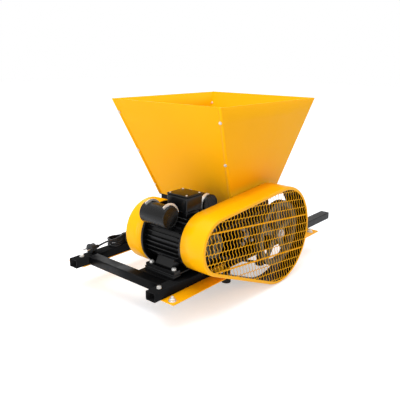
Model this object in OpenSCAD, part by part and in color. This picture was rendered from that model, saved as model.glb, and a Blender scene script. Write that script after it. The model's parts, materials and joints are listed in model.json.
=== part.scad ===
// Motor-driven grape crusher: hopper and two fluted rollers on a frame of box tube.
// +X runs along the tubes away from the motor, +Y runs along the roller shafts away from the
// belt drive, and +Z is up. The origin is on the ground below the middle of the machine.

/* [Frame] */
// Length of the two long tubes
frame_l = 1105; // [900:5:1400]
// Width over the two long tubes
frame_w = 420; // [380:5:560]
// Height of the tube undersides above the ground
frame_h = 95; // [94:1:200]
// Width of the box tube
tube_w = 40; // [30:1:60]
// Height of the box tube
tube_h = 30; // [25:1:50]
// Wall of the box tube
tube_wall = 2; // [1.5:0.5:3]
// Distance of the cross tube from the motor end
cross_x = 52; // [20:1:90]

/* [Base strips] */
// Distance that a base strip stands out beyond its tube
strip_out = 48; // [40:1:80]
// Thickness of a base strip
strip_t = 3; // [2:0.5:6]
// Distance of the strips from the motor end
strip_x = 28; // [10:1:45]
// Length of the strips
strip_l = 892; // [880:1:1000]

/* [Crusher body] */
// Distance of the crusher body from the motor end
body_x = 412; // [380:1:460]
// Length of the crusher body along the tubes
body_l = 243; // [236:1:300]
// Height of the body's top edge above the tube undersides
body_top = 187; // [170:1:220]
// Distance that the body reaches below the tube undersides
body_drop = 20; // [10:1:40]
// Thickness of the plates that carry the rollers
side_t = 4; // [3:0.5:8]
// Thickness of the two end plates
end_t = 2; // [1.5:0.5:4]
// Distance that the near roller plate runs on behind the roller pulley
wing_l = 165; // [140:1:180]
// Height of that run above the tube undersides where it leaves the body
wing_top = 153; // [140:1:160]

/* [Hopper] */
// Length of the hopper mouth along the tubes
hopper_l = 576; // [480:1:700]
// Width of the hopper mouth across the tubes
hopper_w = 500; // [440:1:620]
// Height of the hopper above the crusher body
hopper_h = 371; // [300:1:460]
// Thickness of the hopper sheet
hopper_t = 2; // [1.5:0.5:3]
// Distance that the hopper foot stands out beyond each roller plate
hopper_foot = 12; // [12:1:20]

/* [Rollers] */
// Radius of a crushing roller
roller_r = 44; // [40:1:45]
// Gap between the two rollers
roller_gap = 4; // [2:0.5:10]
// Height of the roller shafts above the tube undersides
roller_z = 82; // [78:1:90]
// Radius of a roller shaft
shaft_r = 12.5; // [10:0.5:15]
// Radial running clearance of every shaft
running = 0.05; // [0.02:0.01:0.1]
// Number of flutes on a roller
flutes = 16; // [8:1:20]
// Teeth on each roller gear
gear_teeth = 23; // [17:2:31]

/* [Belt drive] */
// Pitch radius of the roller pulley
big_pulley_r = 118; // [110:1:135]
// Pitch radius of the motor pulley
small_pulley_r = 34; // [30:1:45]
// Distance of the belt line outside the near tube
belt_y = 50; // [46:1:54]
// Width of the V-belt
belt_w = 10; // [8:1:13]

/* [Belt guard] */
// Outer radius of the guard round the motor pulley
guard_small_r = 95; // [85:1:105]
// Outer radius of the guard round the roller pulley
guard_big_r = 180; // [172:1:181]
// Depth of the guard
guard_d = 90; // [84:1:110]
// Gap between the guard and the near tube
guard_gap = 5; // [4:1:10]
// Thickness of the guard sheet
guard_t = 2; // [1.5:0.5:3]
// Width of the front lip that holds the mesh
guard_lip_w = 11; // [8:1:16]

/* [Motor] */
// Distance of the motor shaft from the motor end of the tubes
motor_x = 200; // [195:1:215]
// Height of the motor shaft above its feet
motor_h = 90; // [90:1:100]
// Spacing of the foot bolts across the motor
foot_a = 160; // [150:1:170]
// Spacing of the foot bolts along the motor
foot_b = 100; // [90:1:125]
// Radius of the motor housing without its fins
housing_r = 85; // [80:1:86]
// Radius over the cooling fins
fin_r = 97; // [92:1:98]
// Radius of the fan cowl
cowl_r = 106; // [100:1:107]
// Radius of the motor shaft
motor_shaft_r = 12; // [9:0.5:14]
// Radius of each capacitor cover
capacitor_r = 35; // [30:1:38]
// Length of each capacitor cover
capacitor_l = 104; // [80:1:120]

/* [Hidden] */
$fn = 48;

// The whole machine is placed from the near tube's outer bottom corner at its motor end.
guard_reach = guard_gap + guard_d + guard_t;
span_y = guard_reach + frame_w + strip_out;
x0 = -frame_l / 2;
y0 = -span_y / 2 + guard_reach;

// Crusher body
body_mid_x = body_x + body_l / 2;
body_y = tube_w;
body_w = frame_w - 2 * tube_w;
mid_y = frame_w / 2;
foot_w = body_w + 2 * hopper_foot;
flange_t = 3;

// Rollers, their shafts and gears
roller_dx = 2 * roller_r + roller_gap;
roller_a_x = body_mid_x + roller_dx / 2;
roller_b_x = body_mid_x - roller_dx / 2;
roller_l = body_w - 2 * side_t - 8;
roller_y = body_y + side_t + 4;
gear_m = roller_dx / gear_teeth;
gear_w = 16;
gear_y = frame_w + 6;
gear_clear = 3;
bearing_l = 26;
bearing_square = 76;
bearing_bolt = 27;
race_r = 23.5;
race_w = 15;

// Motor
foot_t = 9;
foot_pad_w = 26;
foot_end = 14;
rail_h = 12;
rail_w = 36;
base_t = 6;
base_z = tube_h;
foot_z = base_z + rail_h + base_t;
motor_z = foot_z + motor_h;
foot_y = 36;
stator_y = 10;
stator_l = 140;
rear_y = stator_y + stator_l;
shield_t = 14;
cowl_y = rear_y + 8;
cowl_l = 76;
cowl_t = 1.5;
rotor_r = 40;
air_gap = 0.5;
core_r = 75;
core_l = 84;
motor_race_r = 26;
motor_race_w = 15;
capacitor_gap = 3;
capacitor_angle = 45;
capacitor_d = fin_r + capacitor_gap + capacitor_r;
capacitor_y = 33;
capacitor_dx = capacitor_d * sin(capacitor_angle);
capacitor_z = motor_z + capacitor_d * cos(capacitor_angle);
capacitor_xs = [motor_x - capacitor_dx, motor_x + capacitor_dx];
box_l = 76;
box_w = 86;
box_h = 50;
box_y = 16;
lid_t = 6;
box_z = motor_z + fin_r + 1;

// Belt guard: a pear shape round two centres, seen along +Y
small_c = [motor_x - 2, motor_z + 8];
big_c = [body_x + 138, roller_z + 5];
big_pulley_c = [roller_a_x, roller_z];
small_pulley_c = [motor_x, motor_z];
plate_reach = 127;

// Power cord, as points from the machine's own corner
cord_d = 7;
gland_x = 221;
gland_z = 252;
gland_r = 7;
cord_out = [
  [221, 120, 252], [221, 134, 252], [223, 146, 252], [228, 157, 251], [237, 168, 248], [249, 177, 242],
  [263, 185, 231], [276, 191, 220], [288, 197, 207], [298, 203, 191], [305, 210, 173], [310, 217, 153],
  [312, 225, 133], [313, 234, 112], [314, 246, 91], [316, 261, 72], [318, 278, 56], [320, 296, 44],
  [322, 314, 37], [323, 332, 34], [322, 349, 34], [320, 360, 34], [314, 370, 34], [304, 377, 34],
  [293, 379, 34]];
cord_tail = [
  [172, 379, 61], [160, 379, 62], [150, 381, 62], [140, 386, 60], [130, 392, 56], [121, 398, 51],
  [112, 400, 48]];

// The hank of folded cord lies along the far tube: its end loops are six cord diameters wide.
hank_l = 150;
hank_w = 7 * cord_d;
hank_h = 35;
hank_x = 158;

function unit(v) = v / norm(v);

// Points of the outline round two discs, with both straight runs tangent to them.
function pear(c1, r1, c2, r2, n = 40) =
  let (d = norm(c2 - c1), t = atan2(c2[1] - c1[1], c2[0] - c1[0]), b = acos((r1 - r2) / d))
  concat(
    [for (i = [0 : n]) let (a = t + b + i * (360 - 2 * b) / n) c1 + r1 * [cos(a), sin(a)]],
    [for (i = [0 : n]) let (a = t - b + i * 2 * b / n) c2 + r2 * [cos(a), sin(a)]]);

function guard_outline(inset) = pear(small_c, guard_small_r - inset, big_c, guard_big_r - inset);

module at_frame() translate([x0, y0, frame_h]) children();

// A cylinder along +Y that starts at y.
module y_rod(x, y, z, r, l) translate([x, y + l, z]) rotate([90, 0, 0]) cylinder(r = r, h = l);

// A plan drawn in X and Z, made solid from y to y + l.
module y_plate(y, l) translate([0, y + l, 0]) rotate([90, 0, 0]) linear_extrude(l) children();

module box_tube(size, along) difference() {
  cube(size);
  translate([for (i = [0 : 2]) i == along ? -1 : tube_wall])
    cube([for (i = [0 : 2]) i == along ? size[i] + 2 : size[i] - 2 * tube_wall]);
}

// A flat sheet through four outer corners, thick towards its inner side.
module sheet(p, t) {
  n = unit(cross(p[1] - p[0], p[3] - p[0]));
  polyhedron(concat(p, [for (q = p) q - n * t]),
    [[3, 2, 1, 0], [4, 5, 6, 7], [0, 1, 5, 4], [1, 2, 6, 5], [2, 3, 7, 6], [3, 0, 4, 7]]);
}

// A hex bolt head with its washer and shank, pointing down from z = 0.
module hex_bolt(d, l, washer = true) {
  w = washer ? 0.16 * d : 0;
  if (washer) cylinder(r = d, h = w);
  translate([0, 0, w]) cylinder(r = 0.95 * d, h = 0.65 * d, $fn = 6);
  translate([0, 0, -l]) cylinder(r = d / 2, h = l + w);
}

module hex_nut(d) difference() {
  cylinder(r = 0.95 * d, h = 0.8 * d, $fn = 6);
  translate([0, 0, -1]) cylinder(r = d / 2, h = d + 2);
}

/* ---- Frame ---- */

strip_bolt_d = 10;
strip_bolt_xs = [18, strip_l - 36];
frame_bolt_d = 8;
frame_bolt_xs = [37, 860];

module tube_with_holes(y) at_frame() difference() {
  translate([0, y, 0]) box_tube([frame_l, tube_w, tube_h], 0);
  for (x = frame_bolt_xs) translate([x, y + tube_w / 2, -1])
    cylinder(r = frame_bolt_d / 2, h = tube_h + 2);
}

module frame_tube_near() color("#1b1b1c") tube_with_holes(0);
module frame_tube_far() color("#1b1b1c") tube_with_holes(frame_w - tube_w);

module frame_cross_tube() color("#1b1b1c") at_frame()
  translate([cross_x, tube_w, 0]) box_tube([tube_w, body_w, tube_h], 1);

module motor_plate() color("#1b1b1c") at_frame()
  translate([cross_x + tube_w, tube_w, tube_h - 4])
    cube([body_x - cross_x - tube_w, plate_reach, 4]);

// A plate with rounded corners.
module round_plate(l, w, r, t) linear_extrude(t) {
  translate([r, 0]) square([l - 2 * r, w]);
  translate([0, r]) square([l, w - 2 * r]);
  for (x = [r, l - r], y = [r, w - r]) translate([x, y]) circle(r);
}

strip_corner = 7;

// The strip is notched where the guard hangs past it.
notch = [cross_x + 236, body_x + 316];

module base_strip(outer_y, side) at_frame() translate([0, 0, -strip_t]) difference() {
  translate([strip_x, min(outer_y, outer_y + side * (strip_out + tube_w)), 0])
    round_plate(strip_l, strip_out + tube_w, strip_corner, strip_t);
  for (x = strip_bolt_xs) {
    translate([strip_x + x, outer_y + side * 0.45 * strip_out, -1]) cylinder(r = strip_bolt_d / 2, h = 9);
    translate([strip_x + x + 12, outer_y + side * 0.2 * strip_out, -1]) cylinder(r = 3.5, h = 9);
  }
  for (x = frame_bolt_xs) translate([x, outer_y + side * (strip_out + tube_w / 2), -1])
    cylinder(r = frame_bolt_d / 2, h = 9);
  if (side > 0) translate([notch[0], outer_y - 1, -1]) cube([notch[1] - notch[0], strip_out + 1, 9]);
}

module base_strip_near() color("#f5ad16") base_strip(-strip_out, 1);
module base_strip_far() color("#f5ad16") base_strip(frame_w + strip_out, -1);

module strip_bolts() color("silver") at_frame()
  for (x = strip_bolt_xs, y = [-0.55 * strip_out, frame_w + 0.55 * strip_out])
    translate([strip_x + x, y, 0]) {
      hex_bolt(strip_bolt_d, strip_t + 14);
      translate([0, 0, -strip_t - 0.8 * strip_bolt_d]) hex_nut(strip_bolt_d);
    }

module frame_bolts() color("silver") at_frame()
  for (x = frame_bolt_xs, y = [tube_w / 2, frame_w - tube_w / 2])
    translate([x, y, tube_h]) {
      hex_bolt(frame_bolt_d, tube_h + strip_t + 9);
      translate([0, 0, -tube_h - strip_t - 0.8 * frame_bolt_d]) hex_nut(frame_bolt_d);
    }

/* ---- Crusher body ---- */

body_h = body_top + body_drop;
shaft_hole_r = shaft_r + 3;

module bearing_holes(y, l) for (x = [roller_a_x, roller_b_x]) {
  y_rod(x, y - 1, roller_z, shaft_hole_r, l + 2);
  for (i = [-1, 1], j = [-1, 1])
    y_rod(x + i * bearing_bolt, y - 1, roller_z + j * bearing_bolt, 4, l + 2);
}

hopper_foot_xs = [for (i = [0 : 2]) body_x + body_l * (0.15 + 0.35 * i)];
foot_bolt_r = 2.5;
function foot_bolt_y(side) = side < 0 ? body_y - hopper_foot / 2 : body_y + body_w + hopper_foot / 2;

// The near plate's wing behind the roller pulley, whose top edge curves down.
wing_fall = 39;
wing_steps = 10;
module wing() y_plate(body_y, side_t) polygon([
  [body_x + body_l - 1, 0],
  for (i = [0 : wing_steps]) let (t = i / wing_steps)
    [body_x + body_l - 1 + (wing_l + 1) * t, wing_top - wing_fall * t * t],
  [body_x + body_l + wing_l, 0]]);

// One roller plate with the flange that the hopper stands on; side is -1 near and 1 far.
module roller_plate(side) {
  y = side < 0 ? body_y : body_y + body_w - side_t;
  flange_y = side < 0 ? body_y - hopper_foot : body_y + body_w - side_t;
  at_frame() difference() {
    union() {
      translate([body_x, y, -body_drop]) cube([body_l, side_t, body_h]);
      translate([body_x, flange_y, body_top - flange_t])
        cube([body_l, hopper_foot + side_t, flange_t]);
      if (side < 0) wing();
    }
    bearing_holes(y, side_t);
    for (x = hopper_foot_xs) translate([x, foot_bolt_y(side), body_top - flange_t - 1])
      cylinder(r = foot_bolt_r, h = flange_t + 2);
  }
}

module roller_plate_near() color("#1b1b1c") roller_plate(-1);
module roller_plate_far() color("#1b1b1c") roller_plate(1);

module end_plate(x) at_frame() translate([x, body_y + side_t, -body_drop])
  cube([end_t, body_w - 2 * side_t, body_h]);

module end_plate_motor_side() color("#1b1b1c") end_plate(body_x);
module end_plate_outer() color("#1b1b1c") end_plate(body_x + body_l - end_t);

// A sloping sheet that leads the fruit from an end plate into the rollers.
deflector_z = body_top - 12;
deflector_drop = 34;
deflector_gap = 2;
module deflector(side) {
  wall_x = side < 0 ? body_x + end_t : body_x + body_l - end_t;
  reach = (body_l / 2 - end_t - roller_dx / 2) * 0.86;
  at_frame() y_plate(roller_y, roller_l) polygon([
    [wall_x, deflector_z], [wall_x, deflector_z - 3],
    [wall_x - side * reach, deflector_z - 3 - deflector_drop],
    [wall_x - side * reach, deflector_z - deflector_drop]]);
}
module deflector_motor_side() color("silver") deflector(-1);
module deflector_outer() color("silver") deflector(1);

leg_w = 20;
pad_h = 14;
leg_xs = [body_x + 18, body_x + body_l - 18];
leg_ys = [body_y + side_t + 16, body_y + body_w - side_t - 16];

// Four legs stand in the corners of the body, each welded to an end plate.
module legs() color("#1b1b1c") at_frame()
  for (i = [0, 1], y = leg_ys) {
    x = i == 0 ? body_x + end_t : body_x + body_l - end_t - leg_w;
    translate([x, y - leg_w / 2, pad_h - frame_h]) cube([leg_w, leg_w, frame_h - pad_h + 12]);
  }

module rubber_feet() color("#202020") at_frame()
  for (i = [0, 1], y = leg_ys) {
    x = i == 0 ? body_x + end_t + leg_w / 2 : body_x + body_l - end_t - leg_w / 2;
    translate([x, y, -frame_h]) cylinder(r = 17, h = pad_h);
  }

/* ---- Hopper ---- */

mouth_z = body_top + hopper_h;
mouth_x = [body_mid_x - hopper_l / 2, body_mid_x + hopper_l / 2];
mouth_y = [mid_y - hopper_w / 2, mid_y + hopper_w / 2];
throat_x = [body_x, body_x + body_l];
throat_y = [mid_y - foot_w / 2, mid_y + foot_w / 2];
slope_x = (hopper_l - body_l) / 2 / hopper_h;
slope_y = (hopper_w - foot_w) / 2 / hopper_h;
skin_x = hopper_t * sqrt(1 + slope_x * slope_x);
skin_y = hopper_t * sqrt(1 + slope_y * slope_y);
seam_w = 13;
seam_bolt_d = 6;
seam_at = [0.13, 0.52, 0.89];

// The end panel on side -1 or 1 fits between the two long panels.
module hopper_end(side) {
  i = side < 0 ? 0 : 1;
  b = skin_y + 0.1;
  p = [[throat_x[i], throat_y[0] + b, body_top], [throat_x[i], throat_y[1] - b, body_top],
    [mouth_x[i], mouth_y[1] - b, mouth_z], [mouth_x[i], mouth_y[0] + b, mouth_z]];
  at_frame() sheet(side < 0 ? [p[1], p[0], p[3], p[2]] : p, hopper_t);
}

// The long panel on side -1 or 1 has a seam strip folded round each corner and a foot.
module hopper_side(side) {
  i = side < 0 ? 0 : 1;
  yb = throat_y[i];
  yt = mouth_y[i];
  main = [[throat_x[1] + skin_x, yb, body_top], [throat_x[0] - skin_x, yb, body_top],
    [mouth_x[0] - skin_x, yt, mouth_z], [mouth_x[1] + skin_x, yt, mouth_z]];
  foot_d = hopper_foot + side_t - 0.5;
  at_frame() {
    sheet(side < 0 ? [main[1], main[0], main[3], main[2]] : main, hopper_t);
    for (j = [0, 1]) {
      out = j == 0 ? -skin_x : skin_x;
      strip = [[throat_x[j] + out, yb, body_top], [throat_x[j] + out, yb - side * seam_w, body_top],
        [mouth_x[j] + out, yt - side * seam_w, mouth_z], [mouth_x[j] + out, yt, mouth_z]];
      sheet(side * out < 0 ? strip : [strip[1], strip[0], strip[3], strip[2]], hopper_t - 0.05);
    }
    difference() {
      translate([body_x + 3, side < 0 ? yb + 0.5 : yb - 0.5 - foot_d, body_top])
        cube([body_l - 6, foot_d, hopper_t]);
      for (x = hopper_foot_xs) translate([x, foot_bolt_y(side), body_top - 1])
        cylinder(r = foot_bolt_r, h = 9);
    }
  }
}

module hopper_panel_motor_side() color("#f5ad16") hopper_end(-1);
module hopper_panel_outer() color("#f5ad16") hopper_end(1);
module hopper_panel_near() color("#f5ad16") hopper_side(-1);
module hopper_panel_far() color("#f5ad16") hopper_side(1);

tilt_x = atan(slope_x);

// Each seam bolt stands square to its end panel, with its head outside.
module hopper_seam_bolts() color("silver") at_frame()
  for (i = [0, 1], j = [0, 1], s = seam_at) {
    z = mouth_z - s * hopper_h;
    grow = (1 - s);
    x = throat_x[i] + (mouth_x[i] - throat_x[i]) * grow + (i == 0 ? -skin_x : skin_x);
    y = throat_y[j] + (mouth_y[j] - throat_y[j]) * grow + (j == 0 ? 1 : -1) * seam_w * 0.6;
    translate([x, y, z]) rotate([0, (i == 0 ? -1 : 1) * (90 + tilt_x), 0])
      cylinder(r = 0.85 * seam_bolt_d, h = 0.6 * seam_bolt_d, $fn = 6);
  }

module hopper_foot_bolts() color("silver") at_frame()
  for (x = hopper_foot_xs, side = [-1, 1])
    translate([x, foot_bolt_y(side), body_top + hopper_t]) {
      cylinder(r = 4.2, h = 3.5);
      translate([0, 0, -hopper_t - flange_t - 6]) cylinder(r = foot_bolt_r, h = hopper_t + flange_t + 7);
      translate([0, 0, -hopper_t - flange_t - 4]) cylinder(r = 4.6, h = 4, $fn = 6);
    }

/* ---- Rollers and their bearings ---- */

module bearing_housing(x, y, side) {
  plate_y = side < 0 ? y - 12 : y;
  hub_y = side < 0 ? y - bearing_l : y;
  difference() {
    union() {
      translate([x - bearing_square / 2, plate_y, roller_z - bearing_square / 2])
        cube([bearing_square, 12, bearing_square]);
      y_rod(x, hub_y, roller_z, 31, bearing_l);
    }
    y_rod(x, hub_y - 1, roller_z, race_r, bearing_l + 2);
    for (i = [-1, 1], j = [-1, 1])
      y_rod(x + i * bearing_bolt, plate_y - 1, roller_z + j * bearing_bolt, 4, 14);
  }
}

bearing_sides = [[body_y, -1], [body_y + body_w, 1]];

module bearing_housings() color("#3a3d40") at_frame()
  for (x = [roller_a_x, roller_b_x], s = bearing_sides) bearing_housing(x, s[0], s[1]);

module shaft_bearings() color("silver") at_frame()
  for (x = [roller_a_x, roller_b_x], s = bearing_sides) {
    y = s[1] < 0 ? s[0] - 4 - race_w : s[0] + 4;
    difference() {
      y_rod(x, y, roller_z, race_r, race_w);
      y_rod(x, y - 1, roller_z, shaft_r + running, race_w + 2);
    }
  }

module bearing_bolts() color("silver") at_frame()
  for (x = [roller_a_x, roller_b_x], s = bearing_sides, i = [-1, 1], j = [-1, 1])
    translate([x + i * bearing_bolt, s[0] + s[1] * 12, roller_z + j * bearing_bolt])
      rotate([s[1] < 0 ? 90 : -90, 0, 0]) hex_bolt(8, 12 + side_t + 2, false);

// A crushing roller with rounded flutes along it.
module roller(x) at_frame() difference() {
  y_rod(x, roller_y, roller_z, roller_r, roller_l);
  y_rod(x, roller_y - 1, roller_z, shaft_r, roller_l + 2);
  for (i = [0 : flutes - 1]) {
    a = i * 360 / flutes;
    y_rod(x + (roller_r + 1) * cos(a), roller_y - 1, roller_z + (roller_r + 1) * sin(a), 5, roller_l + 2);
  }
}

module roller_a() color("#9a9da0") roller(roller_a_x);
module roller_b() color("#9a9da0") roller(roller_b_x);

shaft_end_y = gear_y + gear_w + 3;
pulley_hub_l = 34;
shaft_a_y = -belt_y - pulley_hub_l / 2;
shaft_b_y = body_y - bearing_l + 2;

module shaft_a() color("silver") at_frame()
  y_rod(roller_a_x, shaft_a_y, roller_z, shaft_r, shaft_end_y - shaft_a_y);
module shaft_b() color("silver") at_frame()
  y_rod(roller_b_x, shaft_b_y, roller_z, shaft_r, shaft_end_y - shaft_b_y);

// Involute gear outline with a little backlash.
pressure = 20;
pitch_r = gear_m * gear_teeth / 2;
gear_base_r = pitch_r * cos(pressure);
gear_tip_r = pitch_r + 0.9 * gear_m;
gear_root_r = pitch_r - 1.25 * gear_m;
backlash = 0.08;
function involute(a) = tan(a) * 180 / PI - a;
function tooth_half(r) = 90 / gear_teeth * (1 - backlash) + involute(pressure)
  - involute(acos(min(1, gear_base_r / r)));
tooth_rs = [for (i = [0 : 4]) gear_root_r + (gear_tip_r - gear_root_r) * i / 4];
gear_points = [for (k = [0 : gear_teeth - 1], i = [0 : 9])
  let (r = tooth_rs[i < 5 ? i : 9 - i],
    a = k * 360 / gear_teeth + (i < 5 ? -1 : 1) * tooth_half(r)) r * [cos(a), sin(a)]];

module gear(x) at_frame() difference() {
  union() {
    y_plate(gear_y, gear_w) translate([x, roller_z]) polygon(gear_points);
    y_rod(x, gear_y - 4, roller_z, 20, 4);
  }
  y_rod(x, gear_y - 5, roller_z, shaft_r, gear_w + 6);
}

module gear_a() color("#6d7073") gear(roller_a_x);
module gear_b() color("#6d7073") gear(roller_b_x);

// Gear cover: an open-backed box with a flange that is screwed to the far tube.
cover_x = roller_b_x - gear_tip_r - gear_clear - 2;
cover_l = roller_dx + 2 * (gear_tip_r + gear_clear + 2);
cover_bottom = roller_z - gear_tip_r - gear_clear - 2;
cover_h = 2 * (gear_tip_r + gear_clear + 2);
cover_y = frame_w;
cover_d = gear_w + 16;
cover_t = 2;
cover_flange_z = 4;
cover_screw_z = tube_h / 2;
cover_screw_xs = [for (i = [0 : 2]) cover_x + 16 + i * (cover_l - 32) / 2];

module gear_cover() color("#f5ad16") at_frame() difference() {
  union() {
    difference() {
      translate([cover_x, cover_y, cover_bottom]) cube([cover_l, cover_d, cover_h]);
      translate([cover_x + cover_t, cover_y - 1, cover_bottom + cover_t])
        cube([cover_l - 2 * cover_t, cover_d + 1 - cover_t, cover_h - 2 * cover_t]);
    }
    translate([cover_x, cover_y, cover_flange_z])
      cube([cover_l, cover_t, cover_bottom - cover_flange_z + 1]);
  }
  for (x = cover_screw_xs) y_rod(x, cover_y - 1, cover_screw_z, 3, cover_t + 2);
}

module gear_cover_screws() color("silver") at_frame()
  for (x = cover_screw_xs) {
    y_rod(x, cover_y + cover_t, cover_screw_z, 5, 3.5);
    y_rod(x, cover_y, cover_screw_z, 3, cover_t + 1);
  }

/* ---- Belt drive ---- */

groove_d = 6;
rim_r = big_pulley_r + 5;
pulley_w = 22;
belt_top = 3;
belt_h = 8;

// The V groove of a pulley, as a ring to take away.
module groove(r) rotate_extrude($fn = 96) polygon([
  [r - groove_d, -belt_w / 2 - 0.5], [r - groove_d, belt_w / 2 + 0.5],
  [r + 6, belt_w / 2 + 2.8], [r + 6, -belt_w / 2 - 2.8]]);

spokes = 5;
spoke_w = 26;
module roller_pulley() color("#55585b") at_frame() translate([roller_a_x, -belt_y, roller_z])
  rotate([90, 0, 0]) difference() {
    union() {
      difference() {
        translate([0, 0, -pulley_w / 2]) cylinder(r = rim_r, h = pulley_w, $fn = 96);
        translate([0, 0, -pulley_w]) cylinder(r = rim_r - 22, h = 2 * pulley_w, $fn = 96);
      }
      translate([0, 0, -pulley_hub_l / 2]) cylinder(r = 30, h = pulley_hub_l);
      for (i = [0 : spokes - 1]) rotate([0, 0, i * 360 / spokes + 18])
        translate([0, -spoke_w / 2, -5]) cube([rim_r - 15, spoke_w, 10]);
    }
    groove(big_pulley_r);
    translate([0, 0, -pulley_w]) cylinder(r = shaft_r, h = 2 * pulley_w);
  }

module pulley_nut() color("silver") at_frame() translate([roller_a_x, shaft_a_y, roller_z])
  rotate([90, 0, 0]) {
    cylinder(r = 17, h = 3);
    translate([0, 0, 3]) cylinder(r = 12, h = 8, $fn = 6);
  }

module motor_pulley() color("#8a8d90") at_frame() translate([motor_x, -belt_y, motor_z])
  rotate([90, 0, 0]) difference() {
    union() {
      translate([0, 0, -pulley_w / 2]) cylinder(r = small_pulley_r + 5, h = pulley_w);
      translate([0, 0, -pulley_w / 2 - 14]) cylinder(r = 24, h = 15);
    }
    groove(small_pulley_r);
    translate([0, 0, -30]) cylinder(r = motor_shaft_r, h = 60);
  }

module v_belt() color("#161616") at_frame() y_plate(-belt_y - belt_w / 2, belt_w) difference() {
  polygon(pear(small_pulley_c, small_pulley_r + belt_top, big_pulley_c, big_pulley_r + belt_top, 48));
  polygon(pear(small_pulley_c, small_pulley_r + belt_top - belt_h, big_pulley_c,
    big_pulley_r + belt_top - belt_h, 48));
}

/* ---- Belt guard ---- */

guard_back = -guard_gap;
guard_front = guard_back - guard_d;

module guard_band() color("#f5ad16") at_frame() y_plate(guard_front, guard_d) difference() {
  polygon(guard_outline(0));
  polygon(guard_outline(guard_t));
}

module guard_lip() color("#f5ad16") at_frame() y_plate(guard_front - guard_t, guard_t) difference() {
  polygon(guard_outline(0));
  polygon(guard_outline(guard_lip_w));
}

// The mesh and its bars slope down towards the roller pulley, from a point on the lower bar.
mesh_slope = 7;
mesh_origin = [body_x, roller_z - 47];
mesh_t = 1.5;
mesh_pitch = 32.2;
mesh_strand = 2;
mesh_reach = frame_l;
mesh_rows = [-12 : 12];
bar_h = 5;
bar_t = 3;
bar_rows = [0, 4];

module mesh_plan() translate(mesh_origin) rotate(-mesh_slope) children();

// Expanded-metal mesh as crossed strips of a coarse grid, behind the lip.
module guard_mesh() color("#f5ad16") at_frame() y_plate(guard_front, mesh_t) intersection() {
  polygon(guard_outline(guard_t));
  union() {
    difference() {
      polygon(guard_outline(guard_t));
      polygon(guard_outline(guard_lip_w));
    }
    mesh_plan() for (i = mesh_rows) {
      translate([-mesh_reach / 2, i * mesh_pitch]) square([mesh_reach, mesh_strand]);
      translate([i * mesh_pitch, -mesh_reach / 2]) square([mesh_strand, mesh_reach]);
    }
  }
}

module guard_bars() color("#f5ad16") at_frame() y_plate(guard_front + mesh_t, bar_t) intersection() {
  polygon(guard_outline(guard_t));
  mesh_plan() for (i = bar_rows) translate([-mesh_reach / 2, i * mesh_pitch]) square([mesh_reach, bar_h]);
}

// Two tabs carry the guard on the near tube.
tab_l = 70;
tab_xs = [254, 662];
module guard_tabs() color("#f5ad16") at_frame() for (x = tab_xs)
  translate([x, -guard_gap, 4]) cube([tab_l, guard_gap, tube_h - 8]);

/* ---- Motor ---- */

foot_xs = [motor_x - foot_a / 2, motor_x + foot_a / 2];
foot_ys = [foot_y, foot_y + foot_b];
foot_bolt_d = 8;
base_l = foot_a + rail_w;
base_w = foot_b + 2 * foot_end;

module foot_bolt_holes(z, h) for (x = foot_xs, y = foot_ys) translate([x, y, z]) cylinder(r = 4, h = h);

module motor_base() color("#151516") at_frame() difference() {
  union() {
    translate([motor_x - base_l / 2, foot_y - foot_end, base_z + rail_h]) cube([base_l, base_w, base_t]);
    for (x = foot_xs) translate([x - rail_w / 2, foot_y - foot_end, base_z])
      cube([rail_w, base_w, rail_h + base_t]);
  }
  foot_bolt_holes(base_z - 1, rail_h + base_t + 2);
}

// Each foot is a flat pad with a sloping web up to the housing.
module motor_feet() color("#151516") at_frame() difference() {
  union() for (s = [-1, 1]) {
    x = motor_x + s * foot_a / 2;
    translate([x - foot_pad_w / 2, foot_y - foot_end, foot_z]) cube([foot_pad_w, base_w, foot_t]);
    y_plate(foot_y + foot_end, foot_b - 2 * foot_end) polygon([
      [x - s * 4, foot_z + 1], [x - s * 4, foot_z + foot_t + 1], [motor_x + s * 62, motor_z - 52],
      [motor_x + s * 30, motor_z - 72], [motor_x + s * 48, foot_z + 1]]);
  }
  y_rod(motor_x, foot_y - 30, motor_z, housing_r, foot_b + 60);
  foot_bolt_holes(foot_z - 1, foot_t + 2);
}

fin_n = 44;
fin_t = 3;
// Fins stand all round but leave room for the feet and the terminal box.
fin_angles = [for (i = [0 : fin_n - 1]) let (a = i * 360 / fin_n)
  if (!(a > 68 && a < 112) && !(a > 205 && a < 335)) a];
saddle_t = 2.5;
saddle_w = 12;
saddle_ys = [capacitor_y + 8, capacitor_y + capacitor_l - 20];
cradle_w = 30;

module motor_housing() color("#151516") at_frame() translate([motor_x, stator_y + stator_l, motor_z])
  rotate([90, 0, 0]) difference() {
    union() {
      cylinder(r = housing_r, h = stator_l);
      for (a = fin_angles) rotate([0, 0, a]) translate([housing_r - 4, -fin_t / 2, 0])
        cube([fin_r - housing_r + 4, fin_t, stator_l]);
      translate([-box_l / 2 + 8, housing_r - 12, stator_l - box_y - box_w + stator_y + 8])
        cube([box_l - 16, fin_r + 1 - housing_r + 12, box_w - 16]);
      for (s = [-1, 1], y = saddle_ys) rotate([0, 0, 90 + s * capacitor_angle])
        translate([housing_r - 4, -cradle_w / 2, rear_y - y - saddle_w])
          cube([capacitor_d - capacitor_r - housing_r + 6, cradle_w, saddle_w]);
    }
    translate([0, 0, -1]) cylinder(r = core_r, h = stator_l + 2);
    for (s = [-1, 1]) translate([s * capacitor_dx, capacitor_z - motor_z, -1])
      cylinder(r = capacitor_r + saddle_t, h = stator_l + 2);
  }

module stator_core() color("#7c7f82") at_frame() difference() {
  y_rod(motor_x, stator_y + 28, motor_z, core_r, core_l);
  y_rod(motor_x, stator_y + 27, motor_z, rotor_r + air_gap, core_l + 2);
}

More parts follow.
